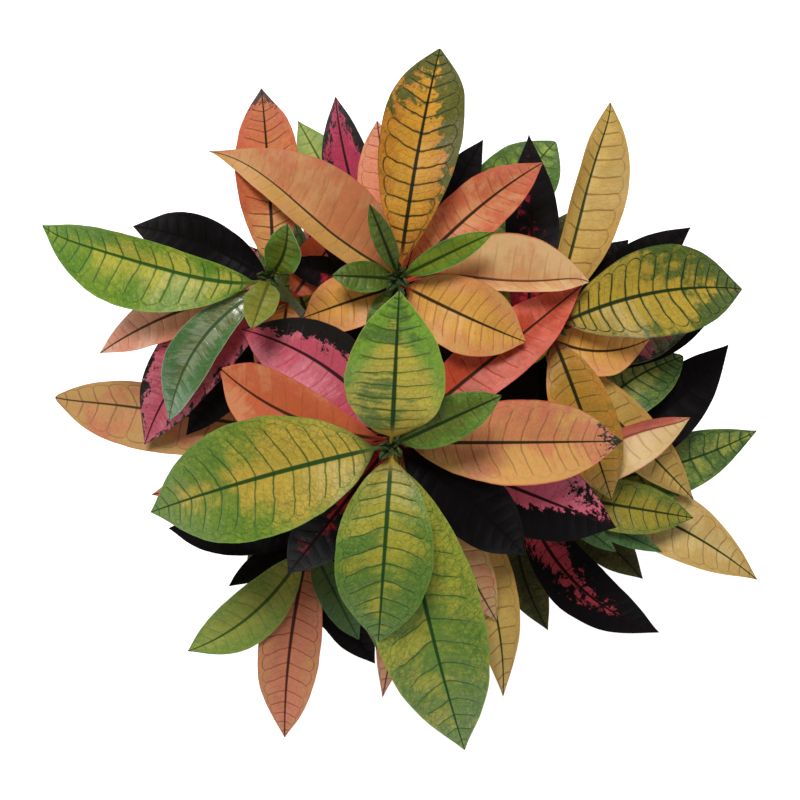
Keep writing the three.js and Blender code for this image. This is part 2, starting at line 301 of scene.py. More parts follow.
# %% Leaves of the left stem
place_leaves(
    "left_stem",
    (0, 64, 31, 60, 5, 24, 16, -4, "bright_green", 0),
    (3, 255, 34, 50, 5, 22, 16, 0, "young_olive", 0),
    (8, 166, 153, 50, 95, 46, 14, 17, "lime_gold", 0, 0.05, -0.35),
    (12, 95, 127, 38, 92, 42, 14, -2, "orange_dark_tip", 0),
    (20, 157, 103, 30, 75, 34, 12, -6, "black", 0),
    (22, 199, 124, 40, 90, 31, 12, -6, "salmon_light", 0),
    (14, 231, 110, 45, 85, 31, 16, -13, "glossy_green", 0, 0.15),
    (36, 226, 133, 40, 88, 46, 12, -13, "crimson", 0),
    (60, 230, 109, 38, 60, 30, 12, 0, "black", 0),
    (50, 195, 72, 25, 55, 22, 12, 0, "black_red", 0),
    (46, 262, 58, 14, 40, 36, 12, 0, "amber", 0),
    (52, 55, 56, 10, 34, 30, 12, 0, "orange", 0),
    (72, 191, 80, 20, 60, 20, 12, 0, "black", 0),
)

# %% [markdown]
# ## The right stem
# A broad golden leaf with green mottling reaches out furthest to the right. Old gold, amber and tan ones
# lie beside and under it, and black ones fill the gaps.

# %% Leaves of the right stem
place_leaves(
    "right_stem",
    (11, 12, 130, 40, 70, 60, 12, 9, "gold_green", 0, 0.1),
    (10, 291, 118, 35, 70, 42, 12, 0, "old_gold", 0),
    (24, 358, 72, 15, 30, 34, 12, -10, "amber", 0),
    (30, 35, 126, 25, 60, 32, 12, 0, "black", 0),
    (40, 45, 94, 25, 60, 32, 12, 0, "black", 0),
    (60, 8, 131, 25, 50, 36, 12, -8, "black", 0),
    (44, 4, 109, 20, 45, 34, 12, -5, "crimson_green", 0),
    (38, 316, 154, 18, 68, 36, 12, 0, "tan_yellow", 0),
    (38, 71.6, 162, 56, 64, 40, 24, -12, "tan_yellow", 0, 0.15, 0.45),
    (50, 88, 141, 30, 80, 37, 12, -2, "black_red", 0, -0.15),
    (8, 230, 31, 14, 14, 16, 12, 0, "banded_lime", 0),
    (46, 254, 80, 15, 40, 36, 12, 0, "black", 0),
)

# %% [markdown]
# ## The low right stem
# This stem is shorter, so its leaves peep out under the others: marbled green, pale tan, one that is half
# cream and half pink, and a black one with a crimson heart.

# %% Leaves of the low right stem
place_leaves(
    "low_right_stem",
    (15, 35, 166, 29, 54, 48, 12, -11, "black", 0),
    (12, 41, 134, 46, 50, 40, 12, 9, "green_marbled", 0, 0.35, 0.2),
    (3, 27, 110, 67, 45, 31, 16, 0, "cream_pink", 1, 0, 0.55),
    (24, 12, 166, 28, 67, 43, 12, -10, "green_marbled", 0),
    (8, 350, 109, 30, 45, 36, 12, 0, "olive_gold", 0),
    (38, 337, 183, 28, 55, 46, 12, 13, "pale_tan", 0),
    (2, 323, 64, 25, 20, 15, 12, 0, "deep_green", 0),
    (12, 334, 99, 25, 40, 18, 12, 0, "deep_green", 0),
    (30, 313, 144, 25, 60, 40, 12, -19, "black_crimson", 0),
    (46, 322, 119, 15, 40, 36, 12, 5, "dark_olive", 0),
    (36, 283, 108, 18, 45, 31, 12, -9, "dark_olive", 0),
    (40, 350, 122, 20, 45, 24, 12, 0, "black", 0),
)

# %% [markdown]
# ## The low left stem
# The lowest stem shows only the ends of its leaves: one light green, one salmon and one deep green, with
# black ones between.

# %% Leaves of the low left stem
place_leaves(
    "low_left_stem",
    (6, 222, 111, 30, 60, 37, 12, 10, "lime_green", 0),
    (14, 262, 141, 30, 70, 43, 12, -4, "salmon", 0),
    (10, 296, 75, 25, 35, 24, 12, 0, "deep_green", 0),
    (20, 294, 100, 20, 45, 33, 12, -5, "black", 0),
    (16, 178, 98, 20, 40, 30, 12, 1, "black", 0),
    (28, 215, 74, 10, 20, 18, 12, 0, "black", 0),
)

# %% [markdown]
# ## Drawing lots that come out the same
# Two leaves of one stem never have quite the same size, so the older ones are varied by lot. A random draw
# would change the plant with every run. This small generator always gives the same shares, and it is the
# one that placed the leaves' solids in the packed model.

# %% Lots
LOT_START = 12
LOT_STEP = 48271
LOT_LIMIT = 2147483647


class LeafLot:
    """A small repeatable generator of shares between 0 and 1."""

    def __init__(self, start):
        self.state = start

    def draw(self):
        self.state = (self.state * LOT_STEP) % LOT_LIMIT
        return self.state / LOT_LIMIT


print("the first lot is", round(LeafLot(LOT_START).draw(), 4))

# %% [markdown]
# ## The older leaves lower down
# Under the leaves that the picture shows, the older ones are left on the outer side of each stem, where
# the light falls. They follow each other down the stem at the spiral turn of 137.5 degrees, squeezed into
# a fan. The lots have to be drawn in the same order as for their solids: length first, then width.

# %% Lower leaves
SPIRAL_TURN = math.radians(137.5)
LOWER_LENGTH_FROM = 0.9
LOWER_LENGTH_SPREAD = 0.2
LOWER_WIDTH_FROM = 34
LOWER_WIDTH_SPREAD = 8

lower_leaves = {
    "front_stem": {"first": 145, "step": 18, "count": 2, "outward": 275, "swing": 15, "reach": 105},
    "back_stem": {"first": 122, "step": 18, "count": 4, "outward": 95, "swing": 45, "reach": 110},
    "left_stem": {"first": 100, "step": 18, "count": 5, "outward": 165, "swing": 55, "reach": 105},
    "right_stem": {"first": 80, "step": 16, "count": 5, "outward": 25, "swing": 55, "reach": 105},
    "low_right_stem": {"first": 54, "step": 14, "count": 4, "outward": 325, "swing": 50, "reach": 95},
    "low_left_stem": {"first": 44, "step": 14, "count": 4, "outward": 235, "swing": 55, "reach": 90},
}
lower_finishes = ("black", "green_marbled", "black_red", "olive", "crimson", "dark_olive")

lot = LeafLot(LOT_START)
lower_count = 0
for name, fan in lower_leaves.items():
    for i in range(fan["count"]):
        azimuth = fan["outward"] + fan["swing"] * math.sin(SPIRAL_TURN * (i + 1))
        length = fan["reach"] * (LOWER_LENGTH_FROM + LOWER_LENGTH_SPREAD * lot.draw())
        width = LOWER_WIDTH_FROM + LOWER_WIDTH_SPREAD * lot.draw()
        finish = lower_finishes[lower_count % len(lower_finishes)]
        leaves[name].append(Leaf(
            depth=fan["first"] + fan["step"] * i, azimuth=azimuth, reach=length, rise=22, drop=55,
            width=width, fold=12, bow=0, finish=finish, patch_side=0,
        ))
        lower_count += 1
print(lower_count, "older leaves by rule")

# %% [markdown]
# ## Buds at the growing tips
# At the very top of every stem a few scale-like leaves stand folded round the bud, dark and only a
# centimetre tall. They follow the same spiral and are shaped by the same rule as the leaves.

# %% Buds
BUD_SCALES = 5
BUD_TURN = 40
BUD_START = {"depth": 0, "reach": 6, "rise": 15, "width": 4.5}
BUD_STEP = {"depth": 0.7, "reach": 1.3, "rise": -1.2, "width": 0.4}

for name, rows in leaves.items():
    for i in range(BUD_SCALES):
        shape = {word: BUD_START[word] + BUD_STEP[word] * i for word in BUD_START}
        azimuth = math.degrees(SPIRAL_TURN) * i + BUD_TURN
        rows.append(Leaf(
            azimuth=azimuth, drop=2, fold=20, bow=0, finish="bud_green", patch_side=0, **shape
        ))
print(BUD_SCALES, "scales on each bud")

# %% [markdown]
# ## Seats for the leaves
# A leaf is placed by one point of a mesh that has no edges and no faces. The point lies on the axis of the
# stem, and the leaf's numbers ride on it as named attributes, which Geometry Nodes can read. One such
# mesh is made for each leafy node: the green shoot above the cut, and the woody length under it.

# %% Seat points
SEAT_NUMBERS = ("azimuth", "reach", "rise", "drop", "width", "fold", "bow")
IN_METRES = ("reach", "rise", "drop", "width", "bow")
IN_DEGREES = ("azimuth", "fold")
SIZE_LIMITS = (15, 75, 122)
SEED_FROM_AZIMUTH = 0.37
SEED_FROM_DEPTH = 1.91
SEED_RANGE = 17


def keep_on_points(mesh, label, values):
    mesh.attributes.new(label, "FLOAT", "POINT").data.foreach_set("value", [float(v) for v in values])


def leaf_seed(leaf):
    """A number of the leaf's own, which makes its noise differ from its neighbours'."""
    return (leaf.azimuth * SEED_FROM_AZIMUTH + leaf.depth * SEED_FROM_DEPTH) % SEED_RANGE


def seat_points(name, stem, rows):
    """One point a leaf, with the leaf's own numbers on it."""
    mesh = bpy.data.meshes.new(name + "_seats")
    mesh.from_pydata([stem_axis(stem, stem["top"] - leaf.depth) for leaf in rows], [], [])
    for label in SEAT_NUMBERS:
        values = [getattr(leaf, label) for leaf in rows]
        if label in IN_METRES:
            values = [value * MM for value in values]
        if label in IN_DEGREES:
            values = [math.radians(value) for value in values]
        keep_on_points(mesh, label, values)
    keep_on_points(mesh, "wave_phase", [leaf.reach for leaf in rows])
    keep_on_points(mesh, "size_class", [sum(leaf.reach > limit for limit in SIZE_LIMITS) for leaf in rows])
    keep_on_points(mesh, "finish", [finish_order.index(leaf.finish) for leaf in rows])
    keep_on_points(mesh, "patch_side", [leaf.patch_side for leaf in rows])
    keep_on_points(mesh, "leaf_seed", [leaf_seed(leaf) for leaf in rows])
    keep_on_points(mesh, "belly", [leaf.belly for leaf in rows])
    keep_on_points(mesh, "midrib_shift", [leaf.midrib_shift for leaf in rows])
    return mesh


finish_order = sorted({leaf.finish for rows in leaves.values() for leaf in rows})
print(len(finish_order), "leaf finishes:", ", ".join(finish_order))

# %% [markdown]
# ## A skin that knows its veins
# A leaf's colour follows its veins: the midrib, the pairs of side veins that leave it, the arches that
# join them near the margin, and the fine net between. A picture could hold all that, but a formula stays
# sharp at any size. Each leaf carries three coordinates, stored when it is shaped: the count of side
# veins passed on the way to the tip, the side from -1 to 1, and the share of the blade's length. A side
# vein is simply where the count is whole, so the pattern bends, narrows and fans out with the blade.

# %% Helpers for shader trees
def group_input(tree, name, kind, value):
    socket = tree.interface.new_socket(name=name, in_out="INPUT", socket_type=kind)
    socket.default_value = value


def read_attribute(tree, name):
    node = tree.nodes.new("ShaderNodeAttribute")
    node.attribute_name = name
    return node


def split(tree, socket):
    node = tree.nodes.new("ShaderNodeSeparateXYZ")
    tree.links.new(socket, node.inputs[0])
    return [Field(tree, out) for out in node.outputs]


def noise(tree, place, scale, detail=2.0, roughness=0.5):
    """Soft clouds between 0 and 1 at a place, with so many to the unit."""
    node = tree.nodes.new("ShaderNodeTexNoise")
    tree.links.new(place, node.inputs["Vector"])
    feed(tree, scale, node.inputs["Scale"])
    node.inputs["Detail"].default_value = detail
    node.inputs["Roughness"].default_value = roughness
    return Field(tree, node.outputs["Fac"])


def blend_colour(tree, below, above, share):
    """Two colours mixed: below where share is 0, above where it is 1."""
    node = tree.nodes.new("ShaderNodeMix")
    node.data_type = "RGBA"
    feed(tree, share, node.inputs[0])
    for place, colour in ((node.inputs[6], below), (node.inputs[7], above)):
        if isinstance(colour, bpy.types.NodeSocket):
            tree.links.new(colour, place)
        else:
            place.default_value = colour
    return node.outputs[2]


print("nodes can be read, split and blended, and make noise")

# %% [markdown]
# ## What a finish may choose
# All leaves have the same veins but their own colours, so the skin is one node group with named inputs.
# Each kind of leaf then says only what is different about it. A leaf that says nothing gets these values.

# %% Skin inputs
skin_colours = {
    "Inner": (180, 180, 60),
    "Outer": (110, 150, 50),
    "Vein": (70, 110, 45),
    "Midrib": (50, 90, 40),
    "Mottle": (80, 130, 45),
    "Blotch": (25, 20, 20),
    "Margin": (120, 150, 60),
    "Stalk": (120, 50, 40),
    "Underside": (150, 150, 90),
}
skin_numbers = {
    "Outer from": 0.3, "Outer to tip": 0.3, "Cells": 0.3, "Base tint": 0.0,
    "Vein strength": 0.8, "Vein width": 1.0, "Halo": 0.0, "Halves": 0.0,
    "Freckles": 0.0, "Arches": 1.0, "Speckle": 0.3, "Midrib width": 1.0,
    "Patches": 0.8, "Softness": 0.1, "Streak": 0.5, "Shade": 0.25,
    "Mottle amount": 0.0, "Mottle to margin": 0.6, "Mottle to tip": 0.6, "Mottle to side": 0.0,
    "Blotch amount": 0.0, "Blotch to margin": 0.8, "Blotch to tip": 0.0, "Blotch to side": 0.0,
    "Net strength": 0.25, "Margin strength": 0.5,
}

skin = bpy.data.node_groups.new("leaf_skin", "ShaderNodeTree")
for label, colour in skin_colours.items():
    group_input(skin, label, "NodeSocketColor", seen(*colour))
for label, number in skin_numbers.items():
    group_input(skin, label, "NodeSocketFloat", number)
skin.interface.new_socket(name="Colour", in_out="OUTPUT", socket_type="NodeSocketColor")
skin.interface.new_socket(name="Height", in_out="OUTPUT", socket_type="NodeSocketFloat")
skin.interface.new_socket(name="Dullness", in_out="OUTPUT", socket_type="NodeSocketFloat")
skin_in = skin.nodes.new("NodeGroupInput")
skin_out = skin.nodes.new("NodeGroupOutput")


def given(label):
    """A number handed to the skin group, as a Field."""
    return Field(skin, skin_in.outputs[label])


print("the skin takes", len(skin_colours), "colours and", len(skin_numbers), "numbers")

# %% [markdown]
# ## Where a point lies on its leaf
# The mesh carries each point's place among the veins, its place in millimetres, and the spacing of the
# veins there. Straight, even veins look drawn with a ruler, so the count of veins is first bent by two
# slow noises and its spacing is changed a little. Everything after this uses the bent count.

# %% Place on the leaf
SLOW_WANDER = (0.055, 0.42)
QUICK_WANDER = (0.25, 0.09)
SPACING_CHANGE = 0.9
VEIN_LEAN = 0.13


def swing(place, scale, amount, detail=1.0):
    """Noise that swings round 0, half the amount each way."""
    return (noise(skin, place, scale, detail) - 0.5) * amount


count, side, along = split(skin, read_attribute(skin, "vein_place").outputs["Vector"])
in_mm = read_attribute(skin, "leaf_place").outputs["Vector"]
measure_gap, measure_half, stalk = split(skin, read_attribute(skin, "leaf_measure").outputs["Vector"])
face = Field(skin, read_attribute(skin, "face").outputs["Fac"])
patch_side = Field(skin, read_attribute(skin, "patch_side").outputs["Fac"])
seed = Field(skin, read_attribute(skin, "leaf_seed").outputs["Fac"])
out = side.size()

wander = swing(in_mm, *SLOW_WANDER) + swing(in_mm, *QUICK_WANDER)
own_side = side.math("SIGN")
spacing = swing(vector(skin, count * 0.55, own_side * 4.0, seed), 1.0, SPACING_CHANGE)
vein_count = count + wander + spacing * out.least(0.4) + side * VEIN_LEAN
between = vein_count.math("FRACT")
from_vein = ((between - 0.5).size() * -1.0 + 0.5) * measure_gap
print("places known,", len(skin.nodes), "nodes")

# %% [markdown]
# ## Side veins and arches
# On a croton leaf each pair of side veins runs out to three quarters of the half blade. There it bends
# and joins the next one in a flat arch, which is drawn here as the top half of an ellipse between two
# veins. Thinner veins start halfway between the pairs and fade out early.

# %% Side veins and arches
SIDE_VEIN_END = (0.74, 0.80)
ARCH_FOOT = 0.70
ARCH_RISE = 0.15
HALF_VEIN_END = (0.40, 0.62)
HALF_VEIN_WIDTH = (0.05, 0.24)
HALF_VEIN_STRENGTH = 0.45

side_vein_width = (0.78 - out * 0.36) * given("Vein width")
side_vein = 1.0 - from_vein.ramp(side_vein_width * 0.2, side_vein_width)
side_vein = side_vein * (1.0 - out.ramp(*SIDE_VEIN_END))

ellipse = ((between * 2.0 - 1.0) ** 2.0 * -1.0 + 1.0).root()
arch_height = ellipse * ARCH_RISE + ARCH_FOOT + wander * 0.06
from_arch = (out - arch_height).size() * measure_half
arch = 1.0 - from_arch.ramp(given("Vein width") * 0.08, given("Vein width") * 0.5)

wild = noise(skin, vector(skin, vein_count * 1.0, side * 2.0, seed), 1.0, 1.0)
arch = arch * (wild * 1.9 - 0.25) * given("Arches")
veins = (side_vein * (0.55 + wild * 0.9)).most(arch).within(0.0, 1.0)

from_half_vein = (between - 0.5 + (wild - 0.5) * 0.3).size() * measure_gap
half_vein = (1.0 - from_half_vein.ramp(*HALF_VEIN_WIDTH)) * (1.0 - out.ramp(*HALF_VEIN_END))
veins = veins.most(half_vein * HALF_VEIN_STRENGTH)
print("veins drawn,", len(skin.nodes), "nodes")

# %% [markdown]
# ## Midrib, net and islets
# The midrib narrows from stalk to tip. Between the side veins lies a fine net that closes round small
# islets of leaf. Voronoi cells have just that form: the edges of coarse ones make the net, and the
# middles of finer ones the islets. The place is bent by a noise first, so that no edge runs straight.

# %% Midrib, net and islets
CELL_BEND = 5.0
NET_CELLS = 0.24
ISLET_CELLS = 0.62

mid_width = (measure_half * 0.02 + 0.8) * (1.5 - along * 1.15) * given("Midrib width")
midrib = 1.0 - (out * measure_half).ramp(mid_width * 0.6, mid_width + 0.3)
midrib = midrib.most(stalk)


def cell_pattern(place, scale, feature="F1"):
    """Voronoi cells at a place, with so many to the millimetre."""
    node = skin.nodes.new("ShaderNodeTexVoronoi")
    node.feature = feature
    skin.links.new(place, node.inputs["Vector"])
    node.inputs["Scale"].default_value = scale
    return node


def distance_in(pattern):
    return Field(skin, pattern.outputs["Distance"])


across_mm, along_mm, seed_mm = split(skin, in_mm)
bend = noise(skin, in_mm, 0.35, 2.0) * CELL_BEND
bent_place = vector(skin, across_mm + bend, along_mm - bend, seed_mm)
net = 1.0 - distance_in(cell_pattern(bent_place, NET_CELLS, "DISTANCE_TO_EDGE")).ramp(0.01, 0.12)
net = net * out.ramp(-0.2, 0.7)
islet = distance_in(cell_pattern(bent_place, ISLET_CELLS, "SMOOTH_F1"))
print("net drawn,", len(skin.nodes), "nodes")

# %% [markdown]
# ## Freckles, mottling and dark patches
# Three kinds of marking lie on the leaves. Freckles are single red dots. Mottling is soft, and gathers
# along the veins, in cells between them, or in clouds. The dark patches are ragged and have sharp
# edges, so their noise has more detail and a much narrower step. Where a marking gathers is a slope that
# is added to its noise: towards the margin, towards the tip, or over to one side of the midrib.

# %% Markings
FRECKLE_CELLS = 0.16
FRECKLE_FROM = 0.62
BLOTCH_CONTRAST = 1.7
BLOTCH_EDGE = (-0.012, 0.018)
MOTTLE_MIDDLE = 0.55
BLOTCH_MIDDLE = 0.5

clouds = noise(skin, in_mm, 0.16, 4.0, 0.65)
halo = (1.0 - from_vein.ramp(0.2, 2.6)) * given("Halo") * (0.3 + clouds)

dots = cell_pattern(in_mm, FRECKLE_CELLS)
dot_size = (Field(skin, dots.outputs["Color"]) - FRECKLE_FROM).within(0.0, 1.0) * 0.5
freckle = (1.0 - (distance_in(dots) - dot_size).ramp(0.0, 0.06)) * given("Freckles")

streaks = noise(skin, vector(skin, vein_count * 4.5, side * 2.2, seed), 1.0, 3.0, 0.6)
ragged = noise(skin, vector(skin, vein_count * 1.7, side * 4.2, seed + 9.0), 1.0, 6.0, 0.76)
broad = noise(skin, in_mm, 0.035, 2.0)
cell_place = vector(skin, vein_count.math("FLOOR") * 1.7, own_side * 5.0, seed)
cell = swing(cell_place, 1.0, given("Cells"), 0.0) * 2.0


def gathering(kind, middle):
    """How strongly a kind of marking gathers at a point of the leaf."""
    to_margin = (out - 0.5) * given(kind + " to margin")
    to_tip = (along - middle) * given(kind + " to tip")
    to_side = side * patch_side * given(kind + " to side")
    return (to_margin + to_tip + to_side) * 0.5


pattern = mixed(clouds, streaks, given("Streak")) + cell * 0.6
patches = (broad - 0.5) * given("Patches")
mottle = pattern + patches + gathering("Mottle", MOTTLE_MIDDLE) + given("Mottle amount") - 1.0 + halo * 0.25
mottle = mottle.ramp(given("Softness") * -1.0, given("Softness"))

blotch = (mixed(ragged, broad, 0.3) - 0.5) * BLOTCH_CONTRAST + 0.5
blotch = blotch + gathering("Blotch", BLOTCH_MIDDLE) + given("Blotch amount") - 1.0
blotch = blotch.ramp(*BLOTCH_EDGE)
print("markings drawn,", len(skin.nodes), "nodes")

# %% [markdown]
# ## The colour, from the ground up
# A leaf is coloured like a painting: first the ground, which goes from one colour at the midrib to another
# at the margin, then shade, grain and mottling, then the net, the veins and the dark patches, and last
# the margin and the midrib. Each layer is one mix, and a list keeps their order easy to read.

# %% Skin colour
SHADE_BROWN = seen(60, 35, 25)
PALE_ISLET = seen(218, 208, 104)
FRECKLE_RED = seen(168, 52, 42)

outward = out + (broad - 0.5) * 0.8 + (along - 0.5) * given("Outer to tip") + cell
outer_share = outward.ramp(given("Outer from"), given("Outer from") + 0.6)
# On leaves with halves, one half takes the outer colour and the other the inner: partly their own colours,
# partly painted light on the half that faces the light.
half_share = (side * patch_side).ramp(-0.04, 0.04)
outer_share = mixed(outer_share, half_share + (outer_share - 0.5) * 0.3, given("Halves"))
shade = (noise(skin, in_mm, 0.07, 3.0) - 0.42).within(0.0, 1.0) * given("Shade") * 2.2
grain = noise(skin, in_mm, 0.9, 3.0, 0.65)

paint = skin_in.outputs
layers = (
    (paint["Outer"], outer_share.within(0.0, 1.0)),
    (SHADE_BROWN, shade.within(0.0, 0.6)),
    (paint["Vein"], (grain - 0.45).within(0.0, 1.0) * 1.1),
    (paint["Stalk"], (1.0 - along.ramp(0.0, 0.3)) * given("Base tint")),
    (paint["Mottle"], mottle * (0.7 + grain * 0.35)),
    (paint["Mottle"], halo * 0.5),
    (paint["Mottle"], islet.ramp(0.38, 0.75) * given("Speckle") * (clouds * 2.0 - 0.3)),
    (PALE_ISLET, (1.0 - islet.ramp(0.1, 0.5)) * given("Speckle") * (1.1 - clouds) * 0.7),
    (FRECKLE_RED, freckle * 0.7),
    (paint["Vein"], net * given("Net strength")),
    (paint["Vein"], veins * given("Vein strength")),
    (paint["Blotch"], blotch),
    (paint["Margin"], out.ramp(0.955, 0.99) * given("Margin strength")),
)
colour = paint["Inner"]
for above, strength in layers:
    colour = blend_colour(skin, colour, above, strength)
midrib_colour = blend_colour(skin, paint["Midrib"], paint["Stalk"], stalk)
colour = blend_colour(skin, colour, midrib_colour, midrib * 0.97)
print(len(layers) + 1, "layers of colour")

# %% [markdown]
# ## The underside, the dents and the dull veins
# A leaf's underside is paler and shows its veins only faintly. Veins, net and clouds also dent the
# surface a little, which is too fine to model, so they are handed on as a height for a bump. Veins are
# less glossy than the blade between them.

# %% Skin outputs
under_share = ((1.0 - face) * 0.5).ramp(0.3, 0.7) * 0.85
under_colour = blend_colour(skin, paint["Underside"], midrib_colour, midrib * 0.5)
under_colour = blend_colour(skin, under_colour, paint["Vein"], veins * 0.25)
colour = blend_colour(skin, colour, under_colour, under_share)
height = side_vein.most(arch * 0.5) * -0.5 + net * -0.10 + clouds * 0.10

skin.links.new(colour, skin_out.inputs["Colour"])
skin.links.new((height * (1.0 - midrib)).socket, skin_out.inputs["Height"])
skin.links.new(midrib.most(veins * 0.7).socket, skin_out.inputs["Dullness"])
print("leaf skin has", len(skin.nodes), "nodes")

# %% [markdown]
# ## The green leaves
# One finish stands for one kind of leaf on the plant. It holds the colours and amounts in which that kind
# differs, over those that its family shares. The young leaves are plain green. The broad ones run from
# gold at the midrib to green at the margin, with mottling that gathers towards the tip.

